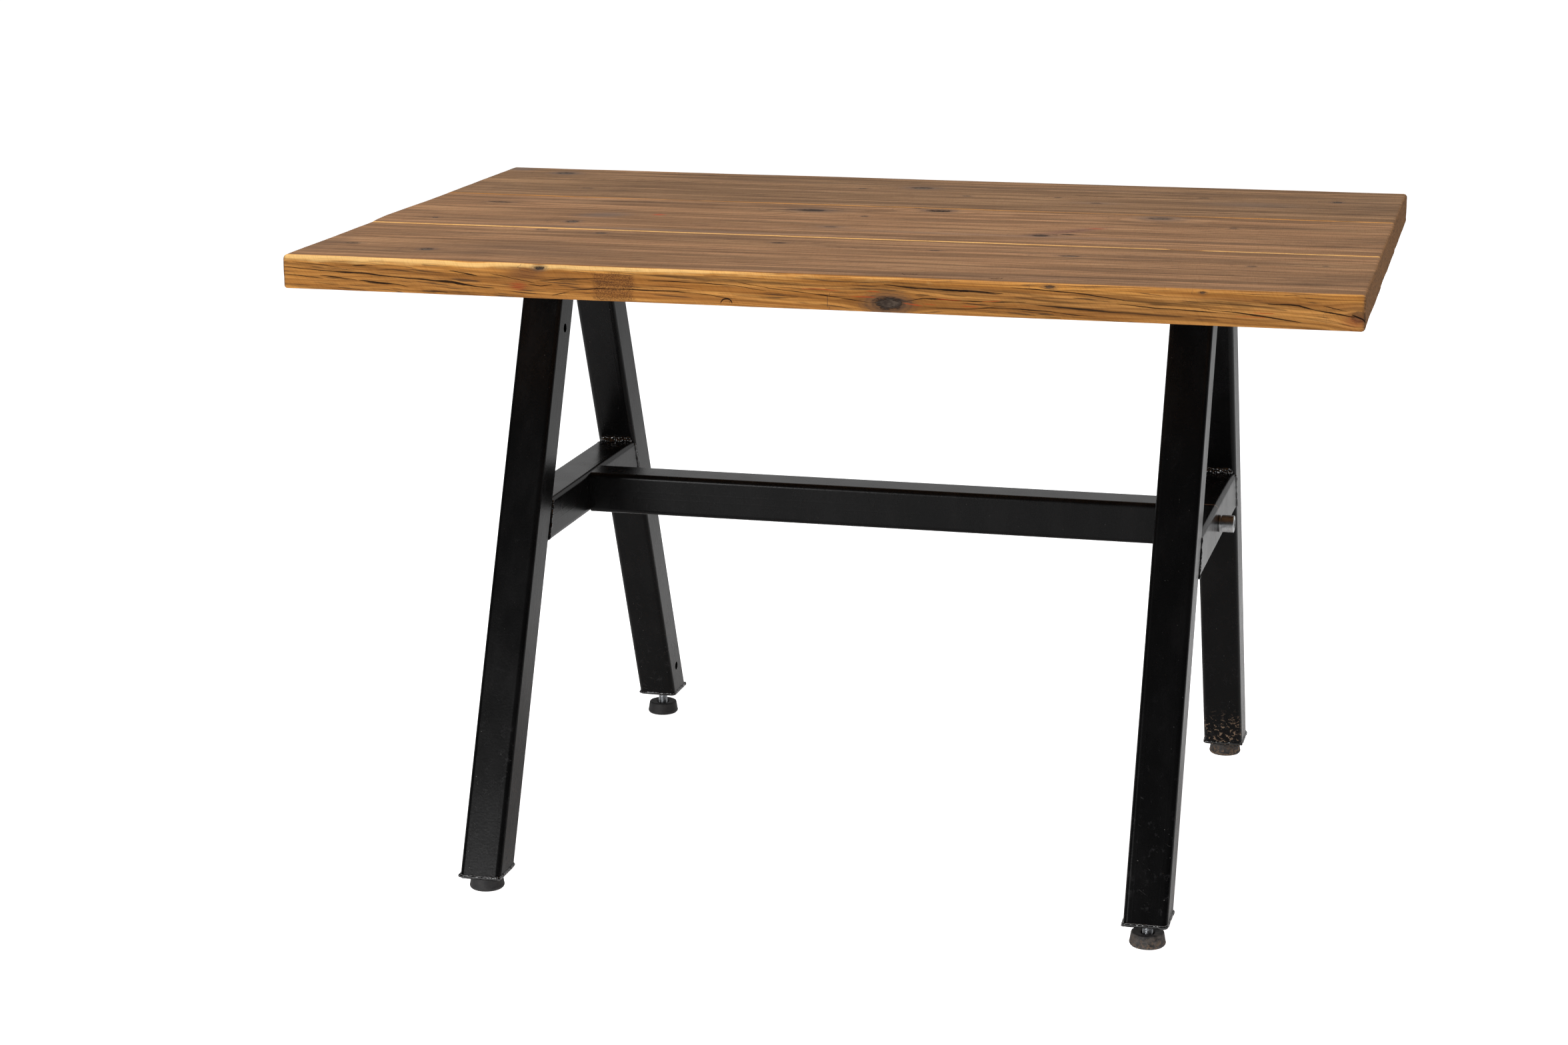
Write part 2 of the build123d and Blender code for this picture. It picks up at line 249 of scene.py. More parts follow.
def old_wood(name, light, dark):
    """Sanded old softwood. Each board's mesh carries where its grain, knots, lines and worn places are, and
    where a highlight is painted into the colour.
    """
    n = new_material(name)
    along, ring, across = n.attribute("grain")
    knot_u, knot_v, knot_depth = n.attribute("knot")
    sanded_and_lit, stain, red = n.attribute("tone")
    end, speckle, grey = n.attribute("wear")

    def grain(along_rate, across_rate, layer, detail=2.0, rough=0.5):
        """Noise drawn out along the grain, with so many features to the metre each way."""
        return n.noise(n.join(along * along_rate, across * across_rate, layer), detail, rough)

    # Grain, from broad bands down to single fibres.
    patch = grain(2.3, 24, 0.0, 3.0)
    broad = grain(2.1, 48, 6.0, 2.0, 0.6)
    band = grain(1.7, 95, 3.0, 3.0, 0.65)
    vein = grain(4.5, 210, 8.0, 3.0, 0.6)
    thread = grain(7, 620, 7.0, 3.0, 0.6)
    fibre = grain(40, 2600, 9.0)
    ring_step = n.maths("FRACT", grain(3, 40, 5.0) * 1.6 + ring / RING_GAP)
    late = n.fade(ring_step, 0.35, 0.93) * n.fade(ring_step, 1.0, 0.95)
    dash_gate = patch * -0.36 + (sanded_and_lit * -0.03 + 0.832)
    dash = n.fade(grain(17, 430, 1.0, 2.0, 0.55) - dash_gate, -0.02, 0.05)
    streak_gate = stain * -0.16 + (sanded_and_lit * -0.05 + 0.70)
    streak = n.fade(grain(5, 560, 2.0, 3.0, 0.6) - streak_gate, 0.0, 0.06)
    # Weathered face, grey-brown.
    face = n.mix(n.fade(band, 0.42, 0.58), light, dark)
    face = n.mix(n.fade(broad, 0.44, 0.66, 0.0, 0.60), face, times(0.58, dark))
    face = n.mix(n.fade(broad, 0.46, 0.30, 0.0, 0.55), face, times(1.22, light))
    face = n.mix(n.fade(patch, 0.46, 0.64, 0.0, 0.35), face, (0.13, 0.078, 0.046))
    face = n.mix(n.fade(vein, 0.44, 0.34, 0.0, 0.6), face, (0.470, 0.285, 0.145))
    face = n.mix(n.fade(vein, 0.52, 0.66, 0.0, 0.75), face, (0.105, 0.058, 0.031))
    face = n.mix(n.fade(thread, 0.45, 0.66, 0.0, 0.55), face, (0.095, 0.052, 0.028))
    face = n.mix(late * 0.30, face, (0.105, 0.050, 0.023))
    # Sanded face, golden, and cream where it is worn brightest. The cream is partly a painted highlight that
    # stands in for the sheen of the arrises.
    gold = n.mix(n.fade(band, 0.40, 0.62), (0.76, 0.355, 0.080), (0.470, 0.190, 0.036))
    gold = n.mix(n.fade(patch, 0.44, 0.68, 0.0, 0.5), gold, (0.30, 0.118, 0.026))
    gold = n.mix(late * 0.5, gold, (0.240, 0.090, 0.020))
    gold = n.mix(n.fade(vein, 0.50, 0.66, 0.0, 0.55), gold, (0.165, 0.070, 0.020))
    gold = n.mix(n.fade(thread, 0.48, 0.75, 0.0, 0.5), gold, (0.17, 0.070, 0.020))
    # Painted highlight: the most worn edges are lifted to cream, partly real sanding and partly the arrises'
    # sheen painted into the colour.
    worn_and_highlight = n.fade(sanded_and_lit, 0.86, 1.0)
    gold = n.mix(worn_and_highlight * 0.72, gold, (0.92, 0.60, 0.235))
    wood = n.mix(sanded_and_lit, face, gold)
    wood = n.mix(n.fade(fibre, 0.35, 0.75, 0.0, 0.16), wood, (0.9, 0.62, 0.4), "MULTIPLY")
    hatch = n.noise(n.slanted((0.0, 0.96, 0.1), 60, 60, 1300))
    wood = n.mix(n.fade(hatch, 0.48, 0.64, 0.0, 0.22), wood, (0.62, 0.50, 0.40), "MULTIPLY")
    marked = worn_and_highlight * -0.7 + 1.0
    wood = n.mix(grey * 0.6, wood, (0.145, 0.118, 0.105))
    wood = n.mix(stain * 0.55, wood, (0.085, 0.05, 0.03))
    wood = n.mix(streak * marked * 0.8, wood, (0.05, 0.031, 0.021))
    wood = n.mix(dash * marked * 0.72, wood, (0.038, 0.026, 0.02))
    wood = n.mix(red * n.fade(thread, 0.3, 0.55), wood, (0.36, 0.055, 0.022))
    # Rough speckled patch.
    spot = speckle * n.fade(n.noise(n.scaled(620, 620, 900), 3.0, 0.7), 0.46, 0.58)
    wood = n.mix(speckle * 0.22, wood, (0.2, 0.075, 0.03))
    wood = n.mix(spot * 0.7, wood, (0.09, 0.038, 0.018))
    # End grain.
    pores = n.noise(n.scaled(500, 700, 700), 4.0, 0.65)
    saw = n.noise(n.scaled(120, 30, 420), 3.0, 0.6)
    end_wood = n.mix(n.fade(pores, 0.3, 0.7), (0.36, 0.185, 0.080), (0.15, 0.076, 0.036))
    end_wood = n.mix(late * 0.55, end_wood, (0.095, 0.047, 0.023))
    end_wood = n.mix(n.fade(saw, 0.45, 0.7, 0.0, 0.5), end_wood, (0.09, 0.055, 0.034))
    wood = n.mix(end, wood, end_wood)
    # Knots, with rings and a ragged black edge.
    ragged = n.noise(n.join(knot_u * 1.9, knot_v * 3.2, knot_depth), 4.0, 0.75)
    far = n.maths("SQRT", knot_u * knot_u + knot_v * knot_v)
    knot_far = far + (ragged * 1.7 - 0.85)
    core = n.fade(knot_far, 1.05, 0.75) * n.fade(knot_depth, 0.0, 0.25)
    halo = n.fade(knot_far, 2.3, 0.9) * (knot_depth * 0.5)
    rings = n.fade(n.maths("SINE", far * 15.0 + ragged * 9.0), -0.4, 0.9)
    wood = n.mix(halo, wood, (0.120, 0.080, 0.060))
    wood = n.mix(halo * (rings * 0.8), wood, (0.062, 0.042, 0.034))
    knot_wood = n.mix(n.fade(thread, 0.42, 0.60), (0.125, 0.094, 0.072), (0.050, 0.037, 0.030))
    knot_wood = n.mix(rings * 0.5, knot_wood, (0.034, 0.025, 0.021))
    knot_wood = n.mix(n.fade(ragged, 0.54, 0.66), knot_wood, (0.016, 0.012, 0.011))
    knot_wood = n.mix(n.fade(knot_far, 0.55, 0.85, 0.0, 0.85), knot_wood, (0.014, 0.011, 0.010))
    wood = n.mix(core * n.fade(knot_depth, 0.1, 0.9, 0.45, 0.97), wood, knot_wood)
    # Cracks, soft brown streaks and traces of red paint, drawn by the distance from the nearest one.
    shake = grain(55, 420, 4.0, 3.0, 0.6) * 0.9 - 0.45
    streaky = n.fade(thread, 0.36, 0.60, 0.35, 1.0)
    cracked = 0.0
    for layer in LINE_LAYERS:
        off, width, kind = n.attribute(layer)
        off = abs(shake * width + off)
        drawn = n.fade(width, 0.05, 0.3)
        sharp = n.fade(width * 0.5 - off, -0.14, 0.14)
        soft = n.fade(off / n.maths("MAXIMUM", width, 0.3), 0.85, 0.1) * (streaky * 0.72)
        brown = n.fade(abs(kind - BROWN), 0.3, 0.15)
        painted = n.fade(kind, 0.75, 0.9)
        sharp = sharp * (painted * -0.35 + 0.94)
        cover = drawn * ((soft - sharp) * brown + sharp)
        colour = n.mix(painted, (0.012, 0.008, 0.006), (0.47, 0.06, 0.018))
        wood = n.mix(cover, wood, n.mix(brown, colour, (0.050, 0.027, 0.014)))
        cracked = cover * (1.0 - n.fade(kind, 0.1, 0.5)) + cracked
    # Relief.
    height = thread * 0.30 + fibre * 0.10 + late * 0.16 + hatch * 0.10
    height = height - (dash + streak) * 0.45 - cracked * 1.6 - core * ragged * 1.1 - spot * 0.5
    height = height + end * (pores + saw) * 0.9
    rough = thread * 0.20 + end * 0.1 + core * 0.2 + 0.64
    return n.finish(wood, height, 0.75, 0.0005, roughness=rough, specular=0.05)


def leg_line(corner, unit=1.0):
    """A leg's lean, and its centreline's distance from the table's middle as a function of height.
    The end plate is the leg's section cut level, so it is deeper than it is wide."""
    low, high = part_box(f"end_plate_{corner}")
    lean = math.acos((high.x - low.x) / (high.y - low.y))
    foot_y, foot_z = abs(low.y + high.y) / 2 / unit, low.z / unit
    return lean, lambda z: (foot_z - z) * math.tan(lean) + foot_y


def black_coat(name, member, roughness=0.26, specular=0.12, lumps=0.0):
    """Black powder coat on box section: fine orange peel, a faint seam line, dust, scuffs and dried dirt."""
    n = new_material(name)
    x, y, z = n.split(n.place())
    rail_low, rail_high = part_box("cross_rail_right")
    frame_x, rail_z = (rail_low.x + rail_high.x) / 2, (rail_low.z + rail_high.z) / 2
    # Place across the member, from its centreline.
    wide = abs(x) - frame_x if member in ("leg", "rail") else y
    deep = z - rail_z
    if member == "leg":
        lean, leg_y = leg_line("front_right")
        deep = (abs(y) - leg_y(z)) * math.cos(lean)
    peel = n.noise(n.scaled(420, 420, 420))
    fine = n.noise(n.scaled(1900, 1900, 1900), 1.0)
    smear = n.noise(n.scaled(26, 26, 9), 4.0, 0.6)
    low = n.fade(z, 0.30, 0.03)
    scuff = n.fade(n.noise(n.scaled(95, 95, 70), 5.0, 0.75, 0.3), 0.56, 0.72) * (low * 0.75 + 0.08)
    speck = n.fade(n.noise(n.scaled(330, 330, 330), 2.0, 0.6), 0.735, 0.78) * (low * 0.9 + 0.25)
    scratch = n.fade(n.noise(n.slanted((0.5, 0.35, 0.2), 90, 90, 900)), 0.70, 0.76) * low
    colour = n.mix(n.fade(smear, 0.4, 0.75), (0.0028, 0.0028, 0.0029), (0.0052, 0.005, 0.0052))
    colour = n.mix(scuff * 0.38, colour, (0.050, 0.048, 0.051))
    colour = n.mix(scratch * 0.4, colour, (0.09, 0.087, 0.085))
    colour = n.mix(speck, colour, (0.19, 0.185, 0.175))
    if member == "leg":
        # Dried dirt splashed on the foot of the back right leg.
        dirty = n.fade(x, 0.30, 0.34) * n.fade(y, 0.1, 0.2) * n.fade(z, 0.078, 0.036)
        clot = n.fade(n.noise(n.scaled(190, 190, 230), 3.0, 0.6, 0.6), 0.56, 0.62)
        colour = n.mix(dirty * clot * 0.9, colour, (0.27, 0.185, 0.125))
    if member == "rail":
        # A rusty scratch across the top of the right rail.
        top = n.fade(x, frame_x - 0.0056, frame_x + 0.0014) * n.fade(z, rail_z + 0.012, rail_z + 0.018)
        hit = n.fade(abs(y - SCRATCH_Y), 0.0026, 0.0010) * top
        colour = n.mix(hit * 0.85, colour, (0.16, 0.10, 0.065))
    seams = [n.fade(abs(abs(off) - seam), 0.0011, 0.0) for off, seam in ((deep, 0.0042), (wide, 0.0148))]
    height = peel * 0.8 + fine * 0.10 + (seams[0] + seams[1]) * 0.35
    if lumps:
        height = height + n.noise(n.scaled(520, 520, 520), 3.0, 0.6) * lumps
    rough = smear * 0.16 + scuff * 0.22 + (roughness - 0.08)
    return n.finish(colour, height, 0.22, 0.0004, roughness=rough, specular=specular)


def turned_steel(name, tint, roughness, blotch, rings=2600):
    """Zinc-plated or bright turned steel with fine tool marks and dull spots."""
    n = new_material(name)
    marks = n.noise(n.scaled(rings, 60, 60))
    cloud = n.noise(n.scaled(210, 210, 210), 4.0, 0.65)
    fine = n.noise(n.scaled(1500, 1500, 1500))
    colour = n.mix(n.fade(cloud, 0.42, 0.72, 0.0, blotch * 2), tint, times(0.42, tint))
    rough = cloud * blotch + roughness
    return n.finish(colour, fine * 0.3 + marks * 0.6, 0.12, 0.0002, roughness=rough, metallic=1.0)


def rubber(name, dust, dirt):
    """Moulded black rubber with a fine grain, pale dust and brown dirt towards the floor."""
    n = new_material(name)
    z = n.split(n.place())[2]
    grain = n.noise(n.scaled(900, 900, 900), 3.0, 0.6)
    cloud = n.noise(n.scaled(120, 120, 150), 4.0, 0.7, 0.4)
    clot = n.noise(n.scaled(260, 260, 300), 3.0, 0.65, 0.5)
    colour = n.mix(grain, (0.016, 0.016, 0.017), (0.03, 0.029, 0.03))
    colour = n.mix(n.fade(cloud, 0.35, 0.7) * dust, colour, (0.13, 0.115, 0.105))
    brown = n.fade(clot, 0.46, 0.62) * n.fade(z, 0.017, 0.004) * dirt
    colour = n.mix(brown, colour, (0.235, 0.15, 0.09))
    return n.finish(colour, cloud * 0.5 + grain, 0.3, 0.0003, roughness=cloud * 0.25 + 0.5, specular=0.4)


def dowel_wood(name):
    """Pale turned beech with short dark flecks."""
    n = new_material(name)
    fleck = n.noise(n.scaled(900, 130, 900), 3.0, 0.6)
    band = n.noise(n.scaled(160, 14, 160), 3.0)
    colour = n.mix(n.fade(band, 0.3, 0.7), (0.60, 0.40, 0.23), (0.47, 0.29, 0.155))
    colour = n.mix(n.fade(fleck, 0.58, 0.72, 0.0, 0.7), colour, (0.24, 0.13, 0.065))
    return n.finish(colour, fleck, 0.3, 0.0003, roughness=0.6)


# ------------------------------------------------------------------ boards
# Places on the boards in millimetres. A knot is its face, centre along and across, half length,
# half width, and how deep and dark it is. A line is its width and its points, listed by face and kind.
# A stain is its face, centre, half length, half width, slant and how dark, red and grey it is.
BLACK, BROWN, RED = 0.0, 0.5, 1.0
LINE_LAYERS = ("line_a", "line_b", "line_c", "line_d")
RING_GAP = 0.0046
FAR_OFF = 9.0
BOARDS = {
    "front": {
        "arris": (6.0, 2.2), "seed": 11, "pith": (-0.47, 0.60),
        "light": (0.385, 0.208, 0.104), "dark": (0.255, 0.138, 0.069),
        "ends": (((-400, 0.6), (-360, -0.4), (-250, 0.3), (-133, -0.4)),
                 ((-400, 0.2), (-330, -1.2), (-240, -1.6), (-133, -3.0))),
        "dips": ((-376, 5.0, 26), (-300, 3.0, 12), (-240, 2.0, 60), (110, 1.5, 120), (560, 2.0, 40)),
        "knots": (
            ("top", -457, -323, 8, 8, 0.75), ("top", -301, -160, 7, 5, 0.6),
            ("top", -558, -297, 10, 5, 0.45),
            ("top", -378, -148, 9, 5, 0.5), ("top", -78, -185, 9, 4, 0.6),
            ("top", 109, -202, 6, 3.5, 0.5),
            ("top", 264, -207, 12, 5, 0.65), ("top", 470, -232, 6, 4, 0.5), ("top", 548, -214, 4, 3, 0.4),
            ("front", 100, 722, 17, 7.5, 1.0), ("front", -296, 748, 6, 3.5, 1.0),
            ("front", 600, 728, 9, 7, 0.2), ("front", 275, 748, 6, 2.5, 0.6),
            ("front", 437, 748, 3, 2, 0.5),
        ),
        "lines": {
            ("top", BLACK): (
                (1.1, (-20, -196), (20, -201), (60, -204)), (0.7, (-486, -190), (-462, -196),
                (-446, -188), (-425, -193)),
                (0.6, (-470, -205), (-455, -199), (-430, -203)),
                (0.8, (-540, -262), (-480, -268), (-395, -271)),
                (0.8, (160, -368), (250, -372), (330, -376), (390, -378)),
                (0.7, (300, -352), (380, -356), (450, -360)),
            ),
            ("top", BROWN): (
                (5.0, (-600, -240), (-520, -244), (-440, -238)),
                (6.0, (-330, -175), (-240, -182), (-150, -180)),
                (4.0, (60, -232), (180, -236), (300, -230)), (6.0, (120, -300), (300, -306), (470, -300)),
                (5.0, (200, -345), (360, -350), (560, -346)),
                (4.0, (-420, -350), (-300, -354), (-200, -352)),
                (4.0, (330, -262), (430, -266), (560, -262)), (5.0, (-140, -330), (0, -336), (100, -334)),
                (4.0, (380, -172), (480, -176), (590, -172)),
                (3.5, (-180, -262), (-60, -268), (60, -262)),
            ),
            ("front", BLACK): (
                (1.6, (-602, 737), (-560, 735), (-518, 733), (-477, 731), (-434, 728)),
                (2.5, (-446, 729), (-398, 727), (-370, 723), (-349, 722)),
                (1.3, (-602, 729), (-575, 727), (-552, 725)),
                (1.6, (-556, 728), (-538, 727), (-511, 725)),
                (1.8, (-510, 725), (-487, 723), (-463, 722), (-449, 719)),
                (1.2, (-517, 741), (-500, 741)), (1.2, (-402, 740), (-368, 735)),
                (0.9, (-425, 716), (-403, 715)),
                (0.9, (-353, 738), (-331, 734), (-300, 729)),
                (0.8, (-303, 731), (-273, 734), (-220, 738)),
                (0.7, (-309, 728), (-295, 726), (-280, 728)), (0.7, (-282, 716), (-261, 721)),
                (0.9, (-290, 723), (-259, 723), (-229, 726), (-138, 726), (-101, 724), (-80, 721)),
                (1.0, (-171, 737), (-105, 737), (-68, 735), (-35, 731)),
                (0.9, (-69, 739), (-32, 734), (23, 729), (82, 722)),
                (1.8, (94, 743), (134, 740), (175, 739), (225, 738)),
                (1.1, (114, 725), (137, 729), (175, 728), (251, 729)),
                (1.0, (138, 720), (175, 719), (208, 722), (244, 722), (275, 721), (307, 717), (328, 717)),
                (1.2, (232, 745), (294, 742), (317, 740), (356, 736)),
                (1.4, (262, 727), (318, 724), (354, 722)),
                (1.1, (346, 732), (388, 729), (427, 728), (454, 727)),
                (1.2, (435, 730), (472, 728), (502, 724), (541, 720)),
                (1.5, (505, 738), (537, 737), (568, 731), (596, 727)),
                (2.0, (592, 730), (600, 727), (611, 723)),
                (0.8, (563, 738), (588, 733)), (0.7, (521, 748), (531, 750), (539, 748)),
                (0.6, (432, 746), (438, 750), (443, 746)),
            ),
            ("front", BROWN): (
                (1.8, (-542, 745), (-500, 745), (-448, 742)), (1.4, (-435, 745), (-398, 744)),
                (1.6, (-565, 721), (-533, 719)),
                (1.2, (-490, 737), (-469, 739), (-443, 737)),
                (3.6, (-178, 743), (-122, 742), (-73, 740), (3, 739), (55, 738)),
                (2.4, (-174, 731), (-116, 730)), (2.2, (-90, 726), (-32, 724), (0, 725)),
                (1.6, (36, 739), (78, 737)),
                (2.6, (200, 741), (243, 739), (283, 735), (304, 734)), (1.6, (129, 733), (146, 733)),
                (1.4, (158, 734), (186, 733)), (2.6, (236, 735), (281, 731), (324, 731)),
                (3.2, (234, 730), (277, 726), (318, 724), (396, 721), (452, 721)),
                (5.0, (352, 735), (400, 734), (467, 736), (525, 732)),
                (1.2, (544, 724), (587, 719), (609, 714)),
                (1.0, (268, 715), (288, 714)), (1.6, (-590, 743), (-560, 741), (-530, 738)),
                (1.4, (-330, 719), (-300, 717)),
                (2.0, (120, 734), (170, 731), (240, 733)), (1.6, (60, 743), (100, 746), (150, 745)),
            ),
            ("front", RED): (
                (1.2, (3, 735), (47, 734)), (1.0, (75, 735), (91, 734)), (1.4, (57, 728), (86, 728)),
                (1.5, (116, 723), (137, 721)),
                (1.0, (138, 724), (152, 723)), (1.1, (153, 729), (181, 729)),
                (1.1, (202, 728), (222, 730)),
                (1.0, (179, 723), (199, 723)), (1.5, (471, 723), (504, 723)),
                (1.1, (489, 728), (513, 728)),
            ),
        },
        "arcs": (("top", 116, -366, 8.5, 6.5, 200, 350), ("top", 211, -372, 7.5, 6, 210, 380),
            ("front", -81, 714.5, 6.5, 6, 5, 175)),
        "stains": (
            ("front", -312, 740, 22, 8, 0, 0.95, 0.1, 0), ("front", -321, 725, 9, 5, 0, 0.2, 0.7, 0),
            ("front", -500, 728, 90, 12, 0, 0.15, 0, 0), ("front", 100, 723, 30, 9, 0, 0.45, 0, 0),
            ("front", 330, 727, 150, 9, -0.04, 0.45, 0, 0), ("front", -264, 736, 14, 8, -0.5, 0.3, 0, 0),
            ("front", 480, 738, 70, 6, 0, 0.4, 0, 0), ("front", 596, 722, 13, 6, 0, 0.15, 0.45, 0),
            ("front", -100, 741, 90, 4, -0.02, 0.5, 0, 0), ("front", 175, 739, 60, 4, -0.02, 0.4, 0, 0),
            ("top", -450, -195, 38, 9, 0, 0.45, 0, 0.1), ("top", 20, -200, 60, 12, 0, 0.3, 0, 0.1),
            ("top", 290, -368, 170, 16, -0.02, 0.55, 0, 0.1),
            ("top", -350, -300, 120, 50, 0, 0.2, 0, 0.1),
            ("top", 560, -330, 40, 60, 0, 0.25, 0, 0), ("top", -585, -300, 16, 70, 0, 0.4, 0, 0.1),
            ("top", 150, -367, 60, 14, 0, 0.3, 0, 0),
        ),
        "speckle": (-210, 728, 24, 15),
    },
    "middle": {
        "arris": (3.0, 1.6), "seed": 23, "pith": (0.22, 0.42),
        "light": (0.400, 0.216, 0.108), "dark": (0.268, 0.145, 0.073),
        "ends": (((-133, -2.6), (-112, -5.4), (-75, -7.2), (-20, -6.4), (50, -4.6), (133, -4.2)),
                 ((-133, 1.3), (-80, 0.6), (0, 0.2), (70, -0.8), (133, -1.4))),
        "dips": ((-520, 1.2, 40), (384, 2.4, 20), (-60, 0.5, 60)),
        "knots": (
            ("top", -507, 66, 15, 4.5, 0.7), ("top", -364, -77, 8, 8, 0.8),
            ("top", -538, -82, 3.5, 4, 0.8),
            ("top", -106, 82, 17, 9, 0.8), ("top", 48, 112, 15, 8, 1.0), ("top", -31, 46, 5, 4, 0.6),
            ("top", -50, -49, 8, 3, 0.5), ("top", 205, -61, 10, 8, 0.65), ("top", 235, -47, 9, 5, 0.5),
            ("top", 322, 105, 16, 10, 0.45), ("top", 417, 47, 5, 6, 0.35), ("top", 18, 128, 5, 2.5, 0.5),
        ),
        "lines": {
            ("top", BLACK): (
                (1.1, (-12, 33), (20, 32), (52, 29)), (0.7, (-180, 74), (-130, 79), (-40, 84)),
                (0.8, (206, -60), (228, -30), (262, 7)),
                (0.9, (-540, 72), (-500, 66), (-478, 66)), (0.6, (330, -60), (420, -66), (560, -72)),
                (1.6, (362, -130), (384, -130), (402, -130)),
                (0.6, (-330, -95), (-200, -100), (-60, -104)),
            ),
            ("top", BROWN): (
                (5.0, (-590, 20), (-500, 14), (-400, 16)), (4.0, (-470, 108), (-380, 104), (-270, 108)),
                (6.0, (-240, 76), (-170, 80), (-100, 82)), (4.0, (-190, -30), (-90, -34), (20, -30)),
                (5.0, (330, 60), (440, 56), (560, 60)), (4.0, (60, -96), (180, -92), (300, -98)),
                (5.0, (380, 112), (480, 108), (590, 110)), (3.0, (100, 70), (200, 66), (290, 68)),
            ),
        },
        "arcs": (),
        "stains": (
            ("top", -345, -15, 30, 20, 0.25, 0.35, 0, 0.75), ("top", -279, 2, 7, 6, 0, 0.3, 0.9, 0),
            ("top", 232, -22, 36, 16, 0.9, 0.45, 0.15, 0.6), ("top", 260, 6, 10, 5, 0, 0.2, 0.6, 0),
            ("top", -106, 82, 45, 22, 0, 0.35, 0, 0.35), ("top", 48, 112, 26, 16, 0, 0.45, 0, 0.1),
            ("top", 322, 105, 34, 20, 0, 0.25, 0, 0.6), ("top", -50, -49, 22, 10, 0, 0.2, 0, 0.5),
            ("top", -250, -120, 260, 9, 0, 0.1, 0.0, 0.5), ("top", 60, 34, 60, 9, 0, 0.35, 0, 0),
            ("top", -420, 95, 140, 20, 0, 0.3, 0, 0.1), ("top", 150, -70, 220, 8, 0, 0.05, 0, 0.45),
        ),
        "speckle": None,
    },
    "back": {
        "arris": (1.4, 6.0), "seed": 37, "pith": (0.62, 0.40),
        "light": (0.318, 0.184, 0.097), "dark": (0.215, 0.124, 0.065),
        "ends": (((133, 1.2), (200, 0.8), (300, 0.4), (400, 0.6)),
                 ((133, 3.0), (220, 2.2), (310, 1.0), (400, 0.0))),
        "dips": ((-300, 0.6, 80), (300, 0.5, 80)),
        "knots": (
            ("top", -515, 349, 12, 9, 0.8), ("top", -16, 310, 14, 8, 0.75), ("top", 517, 296, 6, 6, 0.85),
            ("top", 55, 250, 6, 4, 0.55), ("top", 225, 222, 8, 4, 0.4), ("top", 170, 262, 5, 3, 0.5),
            ("top", -90, 290, 6, 4, 0.45), ("top", 350, 300, 8, 5, 0.3), ("top", -440, 215, 9, 4, 0.35),
        ),
        "lines": {
            ("top", BLACK): (
                (1.0, (-604, 286), (-520, 292), (-440, 303), (-362, 311), (-250, 300), (-150, 292)),
                (0.6, (-430, 160), (-380, 164), (-340, 166)), (0.6, (100, 330), (180, 326), (240, 322)),
                (0.7, (-150, 348), (-60, 352), (60, 350)), (0.6, (480, 262), (540, 258), (590, 257)),
            ),
            ("top", BROWN): (
                (7.0, (-560, 240), (-460, 236), (-340, 240)), (6.0, (-120, 330), (0, 334), (140, 328)),
                (8.0, (120, 290), (240, 286), (380, 292)), (6.0, (300, 360), (420, 356), (580, 362)),
                (5.0, (420, 236), (500, 240), (600, 236)), (6.0, (-420, 370), (-300, 366), (-180, 370)),
                (5.0, (-240, 190), (-100, 186), (20, 192)), (5.0, (200, 170), (320, 166), (450, 172)),
            ),
        },
        "arcs": (),
        "stains": (
            ("top", -590, 385, 26, 22, 0, 0, 0, 0.9), ("top", -515, 349, 24, 18, 0, 0.3, 0, 0.5),
            ("top", -16, 310, 30, 16, 0, 0.35, 0, 0.4), ("top", 225, 222, 36, 10, 0, 0.3, 0, 0.4),
            ("top", 420, 250, 60, 22, 0, 0.2, 0, 0.5), ("top", 517, 296, 26, 12, 0, 0.35, 0, 0.1),
            ("top", 560, 300, 30, 70, 0, 0.2, 0, 0.1), ("top", 0, 335, 400, 14, 0, 0.25, 0, 0.1),
        ),
        "speckle": None,
    },
}
# How far the grain has come down the front face at places along it.
FACE_SLOPE = ((-600, 0), (-400, 14), (-100, 27), (100, 36), (300, 40), (600, 58))
TOP_Z = cad_high.z / MM
END_ROUND = 4.2
BOTTOM_ROUND = 2.4
JOINT_ROUND = 0.8
FACE_STEPS = 20
CORNER_LINES = 4
STEP_ALONG = 2.5
STEP_ACROSS = 2.7


def arc_section(y0, y1, z0, z1, radii, count_y, count_z):
    """The outline of a board at each station: the points of its bottom, top, front and back,
    each with the outward direction there."""
    front_top, back_top, front_low, back_low = radii
    half = np.linspace(0, math.pi / 4, CORNER_LINES + 1)

    def run(first, last, count):
        return first[:, None] + (last - first)[:, None] * np.linspace(0, 1, count + 1)[None, 1:-1]

    def corner(cy, cz, radius, angles, sy, sz):
        y = cy[:, None] + sy * radius[:, None] * np.cos(angles)[None, :]
        z = cz[:, None] + sz * radius[:, None] * np.sin(angles)[None, :]
        ny = np.broadcast_to(sy * np.cos(angles)[None, :], y.shape)
        nz = np.broadcast_to(sz * np.sin(angles)[None, :], y.shape)
        return y, z, ny, nz

    def joined(first, y, z, ny, nz, last, shape):
        middle = (np.broadcast_to(v, shape) for v in (y, z, ny, nz))
        return [np.concatenate(t, 1) for t in zip(first, middle, last)]

    sides = {}
    steep = math.pi / 4 + half
    for key, ra, rb, z, sz in (("top", front_top, back_top, z1, 1), ("bottom", front_low, back_low, z0, -1)):
        a = corner(y0 + ra, z - sz * ra, ra, steep, -1, sz)
        middle = run(y0 + ra, y1 - rb, count_y)
        b = corner(y1 - rb, z - sz * rb, rb, steep[::-1], 1, sz)
        sides[key] = joined(a, middle, z[:, None], 0.0, float(sz), b, middle.shape)
    for key, ra, rb, y, sy in (("front", front_low, front_top, y0, -1), ("back", back_low, back_top, y1, 1)):
        a = corner(y - sy * ra, z0 + ra, ra, half[::-1], sy, -1)
        middle = run(z0 + ra, z1 - rb, count_z)
        b = corner(y - sy * rb, z1 - rb, rb, half, sy, 1)
        sides[key] = joined(a, y[:, None], middle, float(sy), 0.0, b, middle.shape)
    return sides


